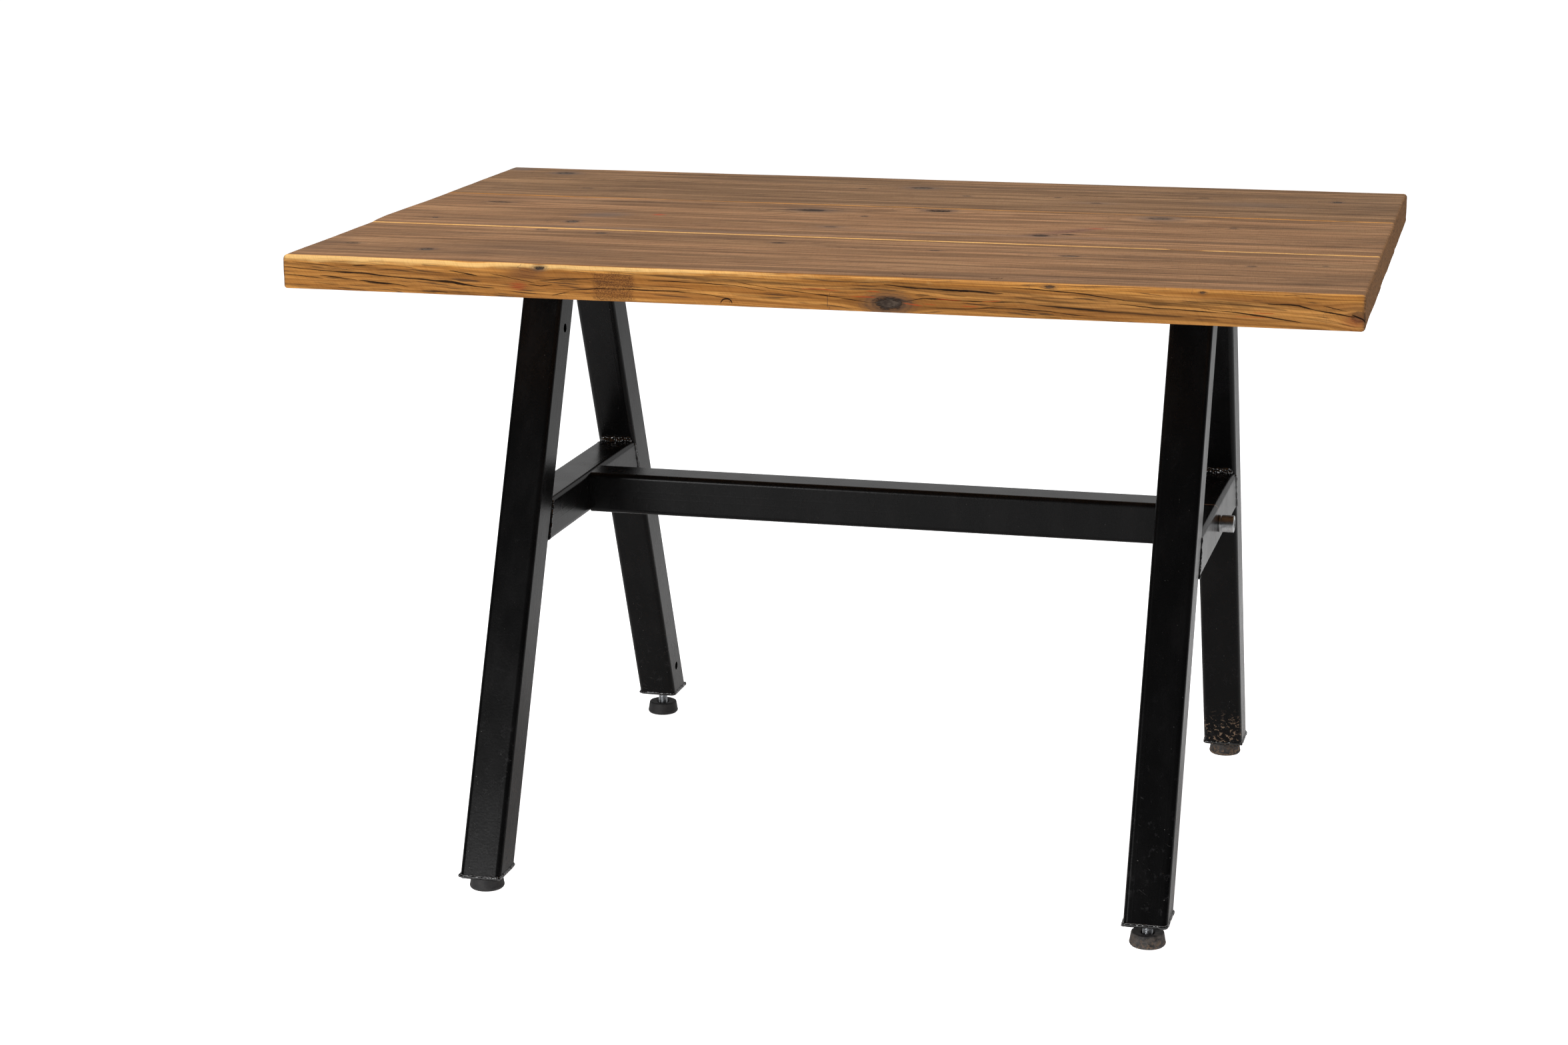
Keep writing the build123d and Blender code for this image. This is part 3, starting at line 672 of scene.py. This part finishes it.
def drawn_lines(board, x, round_at, round_place, shown):
    """For each layer: the signed distance to its nearest line at each vertex, the line's width there and
    its kind. Lines that lie close together go to different layers, so that no distance changes sign
    between two of them, and a line that finds no room is left out."""
    layers = np.zeros((len(LINE_LAYERS), 3, len(x)))
    layers[:, 0] = FAR_OFF
    taken = [[] for _ in LINE_LAYERS]

    def room(layer, start, stop, reach, place):
        """The clear space between this line and the nearest one of the layer."""
        gaps = [FAR_OFF]
        for o_start, o_stop, o_reach, o_place in taken[layer]:
            a, b = max(start, o_start) - FAR_OFF, min(stop, o_stop) + FAR_OFF
            if a < b:
                at = np.linspace(a, b, 9)
                gaps.append(np.abs(place(at) - o_place(at)).min() - reach - o_reach)
        return min(gaps)

    def draw(start, stop, reach, place, distance, thick, kind, here):
        layer = max(range(len(taken)), key=lambda k: (min(room(k, start, stop, reach, place), 1.0), -k))
        if room(layer, start, stop, reach, place) < 0:
            return
        taken[layer].append((start, stop, reach, place))
        take = here & (np.abs(distance) < np.minimum(np.abs(layers[layer, 0]), FAR_OFF - 1))
        thick = np.where(np.abs(distance) < reach, thick, 0)
        layers[layer][:, take] = np.stack([distance, thick, kind + 0 * x])[:, take]

    for face, cx, cc, a, b, start, stop in board["arcs"]:
        middle = round_place(face, cc)
        u, v = (x - cx) / a, (round_at - middle) / b
        distance = (np.hypot(u, v) - 1) * min(a, b)
        turn = np.degrees(np.arctan2(v, u)) % 360
        turn = np.where(turn < start - 20, turn + 360, turn)
        share = np.clip((turn - start) / (stop - start), 0, 1)
        thick = 1.5 * np.clip(4 * share * (1 - share), 0, 1) ** 0.5
        draw(cx - a, cx + a, b + 1.5, lambda at, middle=middle: middle + 0 * at, distance, thick, BLACK,
             shown & (np.abs(distance) < 3))
    count = 0
    for (face, kind), group in board["lines"].items():
        for wide, *points in group:
            count += 1
            px, pc = np.array(points, float).T
            pc = round_place(face, pc)
            line = np.interp(x, px, pc) + 0.6 * smooth_noise(x / 24, count * 3.3, 0.0, board["seed"])
            share = np.clip((x - px[0]) / (px[-1] - px[0]), 0, 1)
            thick = wide * np.clip(4.5 * share * (1 - share) + 0.05, 0, 1) ** 0.6
            thick = thick * (0.8 + 0.45 * smooth_noise(x / 15, count * 5.1, 2.0, board["seed"]))
            thick[(x < px[0]) | (x > px[-1])] = 0.0
            reach = max(2.6 if face == "front" else 3.4, 0.9 * wide + 0.5)
            near = shown & (x > px[0] - 6) & (x < px[-1] + 6)
            draw(px[0], px[-1], reach, lambda at, px=px, pc=pc: np.interp(at, px, pc), round_at - line, thick,
                 kind, near)
    return layers


def board_shell(row, low, high):
    """A board's vertices and outward directions on a closed grid, its quads, and a mark on its end caps.
    The outline is swept along the board, and each end has its own rounded arris."""
    board = BOARDS[row]
    seed = board["seed"]
    bend = np.linspace(math.pi / 2, 0, CORNER_LINES + 1)
    end_inset = END_ROUND * (1 - np.cos(bend))
    start = low[0] + END_ROUND * (1 - np.sin(bend))
    stop = (high[0] - END_ROUND * (1 - np.sin(bend)))[::-1]
    inside = np.linspace(start[-1], stop[0], int((stop[0] - start[-1]) / STEP_ALONG) + 1)[1:-1]
    x = np.concatenate([start, inside, stop])
    inset = np.concatenate([end_inset, 0 * inside, end_inset[::-1]])
    # Arris radii along the board: worn, with dips where it was knocked.
    wear = 1 + 0.16 * layered_noise(x / 60, 0.0, 0.0, seed) + 0.10 * smooth_noise(x / 14, 0.0, 0.0, seed + 1)
    dip = sum(depth * np.exp(-((x - cx) / reach) ** 2) for cx, depth, reach in board["dips"])
    front_top = board["arris"][0] * wear + dip
    back_top = board["arris"][1] * (1 + 0.2 * layered_noise(x / 50, 5.0, 0.0, seed))
    outer_low = BOTTOM_ROUND * (1 + 0.3 * layered_noise(x / 45, 9.0, 0.0, seed))
    joint_low = 0 * x + JOINT_ROUND
    front_low = outer_low if row == "front" else joint_low
    back_low = outer_low if row == "back" else joint_low
    radii = [np.maximum(r - inset, 0.3) for r in (front_top, back_top, front_low, back_low)]
    sides = arc_section(low[1] + inset, high[1] - inset, low[2] + inset, high[2] - inset, radii,
                        int((high[1] - low[1]) / STEP_ACROSS), FACE_STEPS)
    nx, ny, nz = len(x), sides["top"][0].shape[1], sides["front"][0].shape[1]
    place = np.zeros((nx, ny, nz, 3))
    out = np.zeros((nx, ny, nz, 3))
    for key, index in (("bottom", np.s_[:, :, 0]), ("top", np.s_[:, :, -1]),
                       ("front", np.s_[:, 0, :]), ("back", np.s_[:, -1, :])):
        y, z, out_y, out_z = sides[key]
        place[index] = np.stack([np.broadcast_to(x[:, None], y.shape), y, z], -1)
        out[index] = np.stack([0 * y, out_y, out_z], -1)
    # End caps, stretched between their four edges.
    for i, way in ((0, -1), (nx - 1, 1)):
        ring = place[i]
        u = ((ring[:, -1, 1] - ring[0, -1, 1]) / (ring[-1, -1, 1] - ring[0, -1, 1]))[:, None, None]
        v = ((ring[0, :, 2] - ring[0, 0, 2]) / (ring[0, -1, 2] - ring[0, 0, 2]))[None, :, None]
        edges = ((1 - u) * ring[0][None] + u * ring[-1][None]
                 + (1 - v) * ring[:, 0][:, None] + v * ring[:, -1][:, None])
        corners = ((1 - u) * (1 - v) * ring[0, 0] + u * (1 - v) * ring[-1, 0]
                   + (1 - u) * v * ring[0, -1] + u * v * ring[-1, -1])
        place[i, 1:-1, 1:-1] = (edges - corners)[1:-1, 1:-1]
        out[i, 1:-1, 1:-1] = (way, 0, 0)
    shell = np.ones((nx, ny, nz), bool)
    shell[1:-1, 1:-1, 1:-1] = False
    number = np.full((nx, ny, nz), -1, np.int64)
    number[shell] = np.arange(shell.sum())
    station = np.broadcast_to(np.arange(nx)[:, None, None], shell.shape)[shell]
    faces = (number[:, :, -1], number[:, ::-1, 0], number[:, 0, :], number[:, ::-1, :][:, 0, ::-1],
             number[0].T, number[-1])
    quads = np.concatenate([grid_quads(face) for face in faces])
    return place[shell], out[shell], quads, (station == 0) | (station == nx - 1)


def make_board(row):
    """A plank, worn and crooked, with its grain and marks written on its mesh for the material."""
    board = BOARDS[row]
    seed = board["seed"]
    low, high = node_box(f"plank_{row}")
    p, normal, quads, cap = board_shell(row, low, high)
    px, py, pz = p.T
    endness = np.maximum(fade(low[0] + 3.2 - px, 0.0, 2.2), fade(px - high[0] + 3.2, 0.0, 2.2))
    topside = normal[:, 2] > 0.5
    frontside = (normal[:, 1] < -0.5) & ~topside
    backside = (normal[:, 1] > 0.5) & ~topside
    shown = topside | frontside
    # Distance round the board's outline, up its front face and then back over its top.
    round_at = (py - low[1]) + (pz - low[2])

    def round_place(face, at):
        return at - low[1] + high[2] - low[2] if face == "top" else at - low[2]

    # Knots: the nearest one's own coordinates, and how it pushes the grain aside and sinks the surface.
    knot = np.zeros((len(p), 3))
    knot[:, 0] = 9.0
    nearest = np.full(len(p), 9.0)
    push, sink = np.zeros(len(p)), np.zeros(len(p))
    for face, cx, cc, a, b, depth in board["knots"]:
        u, v = (px - cx) / a, (round_at - round_place(face, cc)) / b
        far = np.hypot(u, v)
        push = push + np.where(shown, b * 1.15 * np.tanh(v) * np.exp(-(u / 2.6) ** 2 - (v / 2.4) ** 2), 0)
        take = shown & (far < nearest) & (far < 4.0)
        nearest[take] = far[take]
        knot[take] = np.stack([u[take], v[take], np.full(take.sum(), depth)], -1)
        hollow = (1.5 * fade(depth, 0.85, 1.0) + 0.35 * depth) * fade(far, 1.15, 0.55)
        swell = 0.22 * depth * np.exp(-((far - 1.5) / 0.4) ** 2)
        sink = sink + np.where(shown, hollow - swell, 0)
    # Grain: rings about the pith, and a coordinate that runs round the board.
    pith_y = (low[1] + high[1]) / 2 + board["pith"][0] * 400
    pith_z = TOP_Z - board["pith"][1] * 300
    sway = 9 * layered_noise(px / 420, 0.0, 0.0, seed + 3, 2)
    ring = np.hypot(py - pith_y, pz - pith_z) + sway - push
    ring = ring + 1.4 * smooth_noise(px / 90, py / 60, pz / 60, seed + 4)
    across = np.where(shown, round_at, 400 + py - low[1] - pz)
    slope = np.where(frontside, np.interp(px, *np.array(FACE_SLOPE, float).T), -0.012 * px)
    across = across - push + slope + 3.0 * layered_noise(px / 300, across / 90, 1.0, seed + 5, 2)
    # Stains, and worn, sanded edges whose brightest parts are a painted highlight.
    stain, red, grey = np.zeros(len(p)), np.zeros(len(p)), np.zeros(len(p))
    for face, cx, cc, a, b, slant, dark, redness, greyness in board["stains"]:
        c = round_at - slant * (px - cx) - round_place(face, cc)
        spot = np.exp(-(((px - cx) / a) ** 2 + (c / b) ** 2) ** 1.3) * shown
        stain, red, grey = stain + dark * spot, red + redness * spot, grey + greyness * spot
    ragged = layered_noise(px / 16, py / 6, pz / 6, seed + 7)
    margin = {
        "front": 2.6 + ragged,
        "middle": 2.2 - 1.5 * fade(px, -200, 500) + 0.5 * ragged,
        "back": 0.7 + 0.3 * ragged,
    }[row]
    front_arris, back_arris = board["arris"]
    front_edge = fade(py, low[1] + front_arris + np.maximum(margin, 0.2), low[1] + 0.8 * front_arris)
    back_edge = fade(py, high[1] - back_arris - 0.8 - 0.8 * ragged, high[1] - 0.8 * back_arris)
    edge = np.maximum(front_edge, back_edge) * topside
    back_fresh = 1.0
    if row == "front":
        # Painted highlight: the front top arris is brightest at the left, towards the front-left light, and
        # fades to the right.
        edge = edge * (1 - 0.16 * fade(px, -220, 120) + 0.10 * ragged * fade(px, -220, 120))
    if row == "back":
        edge = edge * 0.84
        back_fresh = 0.80 + 0.05 * ragged
    sanded_and_lit = np.where(topside, edge, np.where(backside, back_fresh, 1.0))
    sanded_and_lit = np.where(normal[:, 2] < -0.5, 0.35, sanded_and_lit)
    if row == "front":
        # The upper part of the front face is sanded brightest, with a painted highlight under the arris, and
        # it darkens to the right as painted shade away from the front-left light.
        bright = 0.82 + 0.13 * fade(pz, high[2] - 11, high[2] - 4)
        sanded_and_lit = np.where(frontside, bright - 0.0001 * (px + 600) + 0.05 * ragged, sanded_and_lit)
    speckle = np.zeros(len(p))
    if board["speckle"]:
        cx, cz, a, b = board["speckle"]
        patch = np.maximum(np.abs(px - cx) / a, np.abs(pz - cz) / b)
        speckle = fade(patch + 0.2 * ragged, 1.1, 0.85) * frontside
    lines = drawn_lines(board, px, round_at, round_place, shown)
    # Displace: hand-sanded waves, raised grain, sunk knots, open cracks and crooked ends.
    wave = 0.28 * layered_noise(px / 150, py / 70, pz / 70, seed + 8)
    wave = wave + 0.05 * layered_noise(px / 30, py / 4, pz / 4, seed + 9)
    groove = sum((kind == BLACK) * width * 0.55 * np.exp(-(far / 1.3) ** 2) for far, width, kind in lines)
    rough_dent = 0.5 * speckle * (0.5 + layered_noise(px / 4, py / 4, pz / 4, seed + 12))
    move = (wave * (normal[:, 2] > -0.5) - sink - groove - rough_dent)[:, None] * normal
    move[cap] = 0
    move[:, 0] *= 1 - endness
    chatter = 0.3 * layered_noise(py / 22, pz / 9, 0.0, seed + 10)
    chatter = chatter + 0.15 * smooth_noise(py / 3, pz / 3, 0.0, seed + 11)
    for profile, side_x, way in zip(board["ends"], (low[0], high[0]), (1, -1)):
        near = fade(px, side_x + way * 45, side_x)
        move[:, 0] += near * (np.interp(py, *np.array(profile, float).T) + chatter)
    material = old_wood(f"old_wood_{row}", board["light"], board["dark"])
    piece = make_object(f"board_{row}", (p + move) * MM, quads, material)
    for name, values in (
        ("grain", (px * MM, ring * MM, across * MM)),
        ("knot", knot.T),
        *zip(LINE_LAYERS, lines),
        ("tone", (np.clip(sanded_and_lit, 0, 1), np.clip(stain, 0, 1), np.clip(red, 0, 1))),
        ("wear", (endness, speckle, np.clip(grey, 0, 1))),
    ):
        layer = piece.data.attributes.new(name, "FLOAT_VECTOR", "POINT")
        layer.data.foreach_set("vector", np.stack(list(values), -1).astype(np.float32).ravel())
    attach(piece, "table")
    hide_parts(f"plank_{row}")


# ------------------------------------------------------------------ welds
def ring_quads(index):
    """Quads between stacked rings of vertex numbers, each ring closed."""
    index = np.hstack([index, index[:, :1]])
    return np.stack([index[:-1, :-1], index[:-1, 1:], index[1:, 1:], index[1:, :-1]], -1).reshape(-1, 4)


def closed_skin(rings, low_centre, high_centre):
    """Vertices and quads of stacked rings, closed by a fan of quads at each end. A ring has an even count."""
    rows, columns = rings.shape[:2]
    index = np.arange(rows * columns).reshape(rows, columns)
    first, last = index[0], index[-1]
    low, high = (np.full(columns // 2, rows * columns + k) for k in (0, 1))
    low_fan = np.stack([np.roll(first, -2)[::2], np.roll(first, -1)[::2], first[::2], low], -1)
    high_fan = np.stack([last[::2], np.roll(last, -1)[::2], np.roll(last, -2)[::2], high], -1)
    vertices = np.vstack([rings.reshape(-1, 3), [low_centre], [high_centre]])
    return vertices, np.vstack([ring_quads(index), low_fan, high_fan])


def bead(points, radius, seed, closed=False, lumpy=0.22, pitch=2.6):
    """A weld bead: a rippled, lumpy closed tube along the points, in millimetres."""
    points = np.array(points, float)
    if closed:
        points = np.vstack([points, points[:1]])
    legs = np.linalg.norm(np.diff(points, axis=0), axis=1)
    at = np.concatenate([[0], np.cumsum(legs)])
    count = max(int(at[-1] / 0.55), 12)
    s = np.linspace(0, at[-1], count + 1)[: count if closed else None]
    centre = np.stack([np.interp(s, at, points[:, a]) for a in range(3)], -1)
    wobble = np.stack([smooth_noise(s / 6, a * 7.1, 0.0, seed) for a in range(3)], -1)
    centre = centre + wobble * radius * 0.16
    if closed:
        tangent = np.roll(centre, -3, 0) - np.roll(centre, 3, 0)
    else:
        steps = np.pad(np.gradient(centre, axis=0), ((4, 4), (0, 0)), "edge")
        tangent = np.stack([np.convolve(steps[:, a], np.ones(9) / 9, "valid") for a in range(3)], -1)
    tangent /= np.linalg.norm(tangent, axis=1)[:, None]
    helper = np.where(np.abs(tangent[:, 2:3]) > 0.9, [[1.0, 0, 0]], [[0, 0, 1.0]])
    side = np.cross(tangent, helper)
    side /= np.linalg.norm(side, axis=1)[:, None]
    up = np.cross(side, tangent)
    turn = np.linspace(0, 2 * math.pi, 15)[:-1]
    cos, sin = np.cos(turn)[None, :], np.sin(turn)[None, :]
    phase = s[:, None] / pitch + 0.32 * cos + 0.35 * smooth_noise(s / 7, 3.0, 0.0, seed)[:, None]
    ripple = 0.07 * np.cos(2 * math.pi * phase)
    rough = lumpy * layered_noise(s[:, None] / 3.1, 1.9 * cos, 1.9 * sin, seed + 2)
    size = radius * (1 + ripple + rough)
    if not closed:
        from_end = np.clip(np.minimum(s, s[-1] - s) / (1.1 * radius), 0, 1)
        size = size * np.sqrt(from_end * (2 - from_end) + 0.02)[:, None]
    size = size[..., None]
    skin = centre[:, None] + size * (cos[..., None] * side[:, None] + sin[..., None] * up[:, None])
    if closed:
        index = np.arange(skin.size // 3).reshape(skin.shape[:2])
        vertices, quads = skin.reshape(-1, 3), ring_quads(np.vstack([index, index[:1]]))
    else:
        vertices, quads = closed_skin(skin, skin[0].mean(0), skin[-1].mean(0))
    return vertices, quads[:, ::-1]


def join_beads(name, beads, material):
    """One object from several beads."""
    starts = np.cumsum([0] + [len(vertices) for vertices, quads in beads])
    vertices = np.vstack([vertices for vertices, quads in beads])
    quads = np.vstack([quads + start for (_, quads), start in zip(beads, starts)])
    piece = make_object(name, vertices * MM, quads, material)
    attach(piece, "table")


def make_welds(material):
    """The beads at each leg: round its rail, under its mounting bar and round its end plate."""
    for corner, side, end in CORNERS:
        leg_low, leg_high = node_box(f"leg_{corner}")
        side_name = "left" if side < 0 else "right"
        rail_low, rail_high = node_box(f"cross_rail_{side_name}")
        lean, leg_y = leg_line(corner, MM)
        slant = (leg_high[0] - leg_low[0]) / math.cos(lean) / 2
        cx = (leg_low[0] + leg_high[0]) / 2
        seed = 100 + 10 * side + 3 * end

        def inner(z, proud):
            return end * (leg_y(z) - slant - proud)

        # The rail: two passes on top, one below and one up each side.
        zt, zb = rail_high[2], rail_low[2]
        top_line = [(cx + dx, inner(zt + 1.5, 1.0), zt + 1.2) for dx in np.linspace(-21.5, 21.5, 9)]
        second = [(cx + dx, inner(zt + 4.5, 0.6), zt + 4.6) for dx in np.linspace(-20, 20, 9)]
        low_line = [(cx + dx, inner(zb - 0.5, 0.6), zb - 0.6) for dx in np.linspace(-20, 20, 9)]
        beads = [
            bead(top_line, 4.6, seed, lumpy=0.62, pitch=4.1),
            bead(second, 2.6, seed + 40, lumpy=0.8, pitch=3.3),
            bead(low_line, 3.0, seed + 1, lumpy=0.4),
        ]
        for way in (-1, 1):
            line = [(cx + way * 24.6, inner(z, 0.3), z) for z in np.linspace(zb + 2.5, zt - 2.5, 11)]
            beads.append(bead(line, 1.7, seed + 2 + way, lumpy=0.55, pitch=5.0))
        join_beads(f"rail_welds_{corner}", beads, material)
        # The top of the leg, all round.
        beads = []
        top_z = leg_high[2]
        for face in (-1, 1):
            y = end * (leg_y(top_z) + face * (slant - 0.5))
            line = [(cx + dx, y, top_z - 0.8) for dx in np.linspace(-20, 20, 7)]
            beads.append(bead(line, 3.1, seed + 6 + face, lumpy=0.35))
        for way in (-1, 1):
            y0, y1 = (end * (leg_y(top_z) + face * (slant - 8)) for face in (-1, 1))
            line = [(cx + way * 25, y, top_z - 0.6) for y in np.linspace(y0, y1, 7)]
            beads.append(bead(line, 2.4, seed + 16 + way, lumpy=0.35))
        join_beads(f"leg_top_welds_{corner}", beads, material)
        # Round the end plate, with blobs at the corners.
        (x0, y0, _), (x1, y1, z1) = node_box(f"end_plate_{corner}")
        r = 4.0
        loop = []
        left, right, front, back = x0 + r, x1 - r, y0 + r, y1 - r
        for ax, ay, a0 in ((right, back, 0), (left, back, 90), (left, front, 180), (right, front, 270)):
            for a in np.radians(np.linspace(a0, a0 + 90, 7)):
                loop.append((ax + (r - 0.7) * math.cos(a), ay + (r - 0.7) * math.sin(a), z1 - 1.3))
        beads = [bead(loop, 2.1, seed + 5, closed=True, lumpy=0.22, pitch=6.0)]
        spots = [(ax, ay) for ay in (y0 + 1.6, y1 - 1.6) for ax in (x0 + 1.6, x1 - 1.6)]
        for k, (ax, ay) in enumerate(spots):
            size = (3.4, 2.7, 3.0, 3.6)[(k + side + end) % 4]
            inward = -1 if k % 2 else 1
            blob = [(ax + 2.4 * inward, ay, z1 - 1.8), (ax, ay, z1 - 1.2), (ax + 0.4, ay + 1.6, z1 + 0.6)]
            beads.append(bead(blob, size, seed + 50 + k, lumpy=0.22, pitch=6.0))
        join_beads(f"foot_welds_{corner}", beads, material)


# ------------------------------------------------------------------ feet
def circle(count):
    return np.linspace(0, 2 * math.pi, count + 1)[:-1]


def lathed(cx, cy, radius, angle, z):
    """Stacked rings about an upright axis."""
    z = z + 0 * radius
    return np.stack([cx + radius * np.cos(angle), cy + radius * np.sin(angle), z], -1)


def make_stud(corner, material):
    """A levelling stud with a turned helical thread above its plain head."""
    low, high = node_box(f"foot_stud_{corner}")
    cx, cy = (low[0] + high[0]) / 2, (low[1] + high[1]) / 2
    head_radius = (high[0] - low[0]) / 2
    pitch, top_radius, root_radius = 1.75, 5.98, 5.05
    head_top = low[2] + 7.0
    angle = circle(64)
    head = [*(low[2] + up for up in (0, 0.4, 0.8)), *(head_top + up for up in (-1.0, -0.4, 0, 0.01))]
    z = np.array([*head, *np.arange(head_top + 0.25, high[2] - 0.01, pitch / 9), high[2]])[:, None]
    phase = (z / pitch - angle / (2 * math.pi)) % 1.0
    tooth = np.clip(np.abs(phase - 0.5) * 2.9 - 0.32, 0, 1)
    radius = root_radius + (top_radius - root_radius) * (1 - tooth)
    radius = np.minimum(radius, root_radius + np.clip((high[2] - z) * 0.9, -1.0, 2.0))
    neck = fade(z, head_top + 0.3, head_top + 2.0)
    radius = root_radius * (1 - neck) + radius * neck
    rim = head_radius - 0.8 * (1 - np.clip((z - low[2]) / 0.8, 0, 1))
    rim = rim - 1.6 * np.clip(z - head_top + 1.0, 0, 1)
    radius = np.where(z <= head_top, rim, radius)
    rings = lathed(cx, cy, radius, angle, z)
    vertices, quads = closed_skin(rings, (cx, cy, low[2]), (cx, cy, high[2]))
    piece = make_object(f"threaded_stud_{corner}", vertices * MM, quads, material)
    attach(piece, f"stud_{corner}")
    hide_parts(f"foot_stud_{corner}")


def make_pad(corner, material):
    """A tapered rubber pad with a swollen foot, a dished top and a socket for the stud's head."""
    (x0, y0, floor), (x1, y1, top) = node_box(f"foot_pad_{corner}")
    cx, cy, base = (x0 + x1) / 2, (y0 + y1) / 2, (x1 - x0) / 2
    socket = floor + 4.96
    outside = [
        (4, floor), (12, floor), (base - 3.0, floor), (base - 1.8, floor + 0.35),
        (base - 0.8, floor + 1.3), (base - 0.15, floor + 2.6), (base, floor + 3.4),
        (base - 0.12, floor + 4.2), (base - 0.42, floor + 5.0),
        (base - 0.72, floor + 7.0), (base - 1.12, floor + 9.6), (base - 1.5, floor + 12.0),
        (base - 1.9, floor + 14.3), (base - 2.15, top - 0.9), (base - 2.6, top - 0.3), (base - 3.3, top),
    ]
    inside = [
        (base - 4.5, top - 0.12), (13.5, top - 0.5), (10.5, top - 0.85), (9.2, top - 1.05), (8.5, top - 1.4),
        (8.0, top - 2.0), (7.85, top - 2.8), (7.9, top - 3.6), (8.3, top - 3.93), (9.1, top - 3.93),
        (9.1, top - 6.0), (9.1, floor + 5.6), (9.0, socket), (6.0, socket), (3.0, socket),
    ]
    angle = circle(96)
    r, z = np.array(outside + inside).T[..., None]
    uneven = 0.10 * smooth_noise(3 * np.cos(angle), 3 * np.sin(angle), z / 5, 60 + len(corner))
    rings = lathed(cx, cy, r + uneven * fade(r, 14, 17), angle, z)
    vertices, quads = closed_skin(rings, (cx, cy, floor), (cx, cy, socket))
    piece = make_object(f"rubber_pad_{corner}", vertices * MM, quads, material)
    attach(piece, f"pad_{corner}")
    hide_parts(f"foot_pad_{corner}")


# ------------------------------------------------------------------ camera and light
def make_camera():
    """The photograph's viewpoint: level 1.3 m, in front and to the right, long lens."""
    yaw, pitch, roll = (math.radians(a) for a in (14.69, 13.76, -0.23))
    forward = Vector((-math.sin(yaw) * math.cos(pitch), math.cos(yaw) * math.cos(pitch), -math.sin(pitch)))
    right = Vector((math.cos(yaw), math.sin(yaw), 0.0))
    up = right.cross(forward)
    right, up = right * math.cos(roll) + up * math.sin(roll), up * math.cos(roll) - right * math.sin(roll)
    data = bpy.data.cameras.new("camera")
    data.lens = 71.95
    data.sensor_width = 36.0
    data.clip_start, data.clip_end = 0.1, 100.0
    camera = bpy.data.objects.new("camera", data)
    turn = Matrix((right, up, -forward)).transposed().to_4x4()
    camera.matrix_world = Matrix.Translation((0.83475, -3.64919, 1.29548)) @ turn
    bpy.context.scene.collection.objects.link(camera)
    bpy.context.scene.camera = camera


def soft_box(name, place, target, width, height, power, mirrored=True):
    data = bpy.data.lights.new(name, "AREA")
    data.shape = "RECTANGLE"
    data.size, data.size_y, data.energy = width, height, power
    light = bpy.data.objects.new(name, data)
    light.location = place
    light.visible_glossy = mirrored
    light.rotation_mode = "QUATERNION"
    light.rotation_quaternion = (Vector(target) - Vector(place)).to_track_quat("-Z", "Y")
    bpy.context.scene.collection.objects.link(light)


def make_world():
    """White to the camera. As light it is bright behind the table and dim in front, like a lit backdrop."""
    world = bpy.data.worlds.new("studio")
    bpy.context.scene.world = world
    n = Nodes(world)
    way_y = n.split(n.add("TexCoord", out="Generated"))[1]
    behind = n.fade(way_y, 0.05, 0.75, 0.0, 0.62)
    ahead = n.fade(way_y, -0.2, -0.8, 0.0, 0.07)
    strength = n.maths("MAXIMUM", n.maths("MAXIMUM", behind, ahead), n.camera_ray())
    light = n.add("Background", {"Color": (1.0, 1.0, 1.0), "Strength": strength})
    n.add("OutputWorld", {"Surface": light})


def make_floor():
    """A pale floor, as low as the feet reach when they are screwed right out."""
    reach = max(joint["range_m"][1] for joint in frame["joints"] if joint["type"] == "slide")
    n = new_material("pale_floor")
    colour = n.mix(n.noise(n.scaled(3, 3, 3)), (0.86, 0.86, 0.86), (0.90, 0.90, 0.90))
    glow = n.camera_ray() * 0.62 + 0.24
    white = (1.0, 1.0, 1.0)
    inputs = {"Base Color": colour, "Roughness": 0.9, "Emission Color": white, "Emission Strength": glow}
    n.add("OutputMaterial", {"Surface": n.add("BsdfPrincipled", inputs)})
    size, cells = 40.0, 8
    line = np.linspace(-size, size, cells + 1)
    gx, gy = np.meshgrid(line, line, indexing="ij")
    index = np.arange((cells + 1) ** 2).reshape(cells + 1, cells + 1)
    place = np.stack([gx, gy, 0 * gx + cad_low.z - reach], -1).reshape(-1, 3)
    make_object("floor", place, grid_quads(index), n.owner)


make_camera()
make_world()
make_floor()
soft_box("overhead", (-0.45, -0.2, 3.2), (-0.1, 0.0, 0.7), 2.8, 2.2, 88)
soft_box("front_left", (-1.7, -3.9, 0.85), (0.0, 0.0, 0.7), 1.2, 0.9, 66)
soft_box("right_fill", (3.2, -0.6, 1.6), (0.6, 0.0, 0.7), 1.6, 1.2, 22, mirrored=False)

for board_row in BOARDS:
    make_board(board_row)

coat = {member: black_coat(f"black_coat_{member}", member) for member in ("leg", "rail", "stretcher")}
weld_coat = black_coat("black_coat_weld", "weld", roughness=0.10, specular=0.8, lumps=1.8)
plain_steel = turned_steel("plain_steel", (0.52, 0.53, 0.54), 0.18, 0.25)
zinc = turned_steel("zinc_steel", (0.62, 0.64, 0.66), 0.22, 0.2, 800)
node_looks = (
    (("leg_", "end_plate_"), coat["leg"]),
    (("cross_rail_", "mounting_bar_"), coat["rail"]),
    (("stretcher_plug_", "stretcher_bolt_", "bolt_collar_", "rail_sleeve_", "weld_nut_"), plain_steel),
    (("stretcher",), coat["stretcher"]),
    (("bar_screws_",), zinc),
    (("dowels_",), dowel_wood("beech_dowel")),
)
for node_name, node in frame["nodes"].items():
    looks = [look for starts, look in node_looks if node_name.startswith(starts)]
    for slot in node.material_slots if looks else ():
        slot.material = looks[0]

make_welds(weld_coat)
# How dusty and how dirty each pad is.
pad_looks = {
    "front_left": (0.15, 0.0), "front_right": (0.8, 0.6), "back_left": (0.1, 0.0), "back_right": (0.6, 1.0),
}
for corner, (dust, dirt) in pad_looks.items():
    make_stud(corner, zinc)
    make_pad(corner, rubber(f"rubber_{corner}", dust, dirt))

bpy.context.scene.view_settings.view_transform = "Standard"
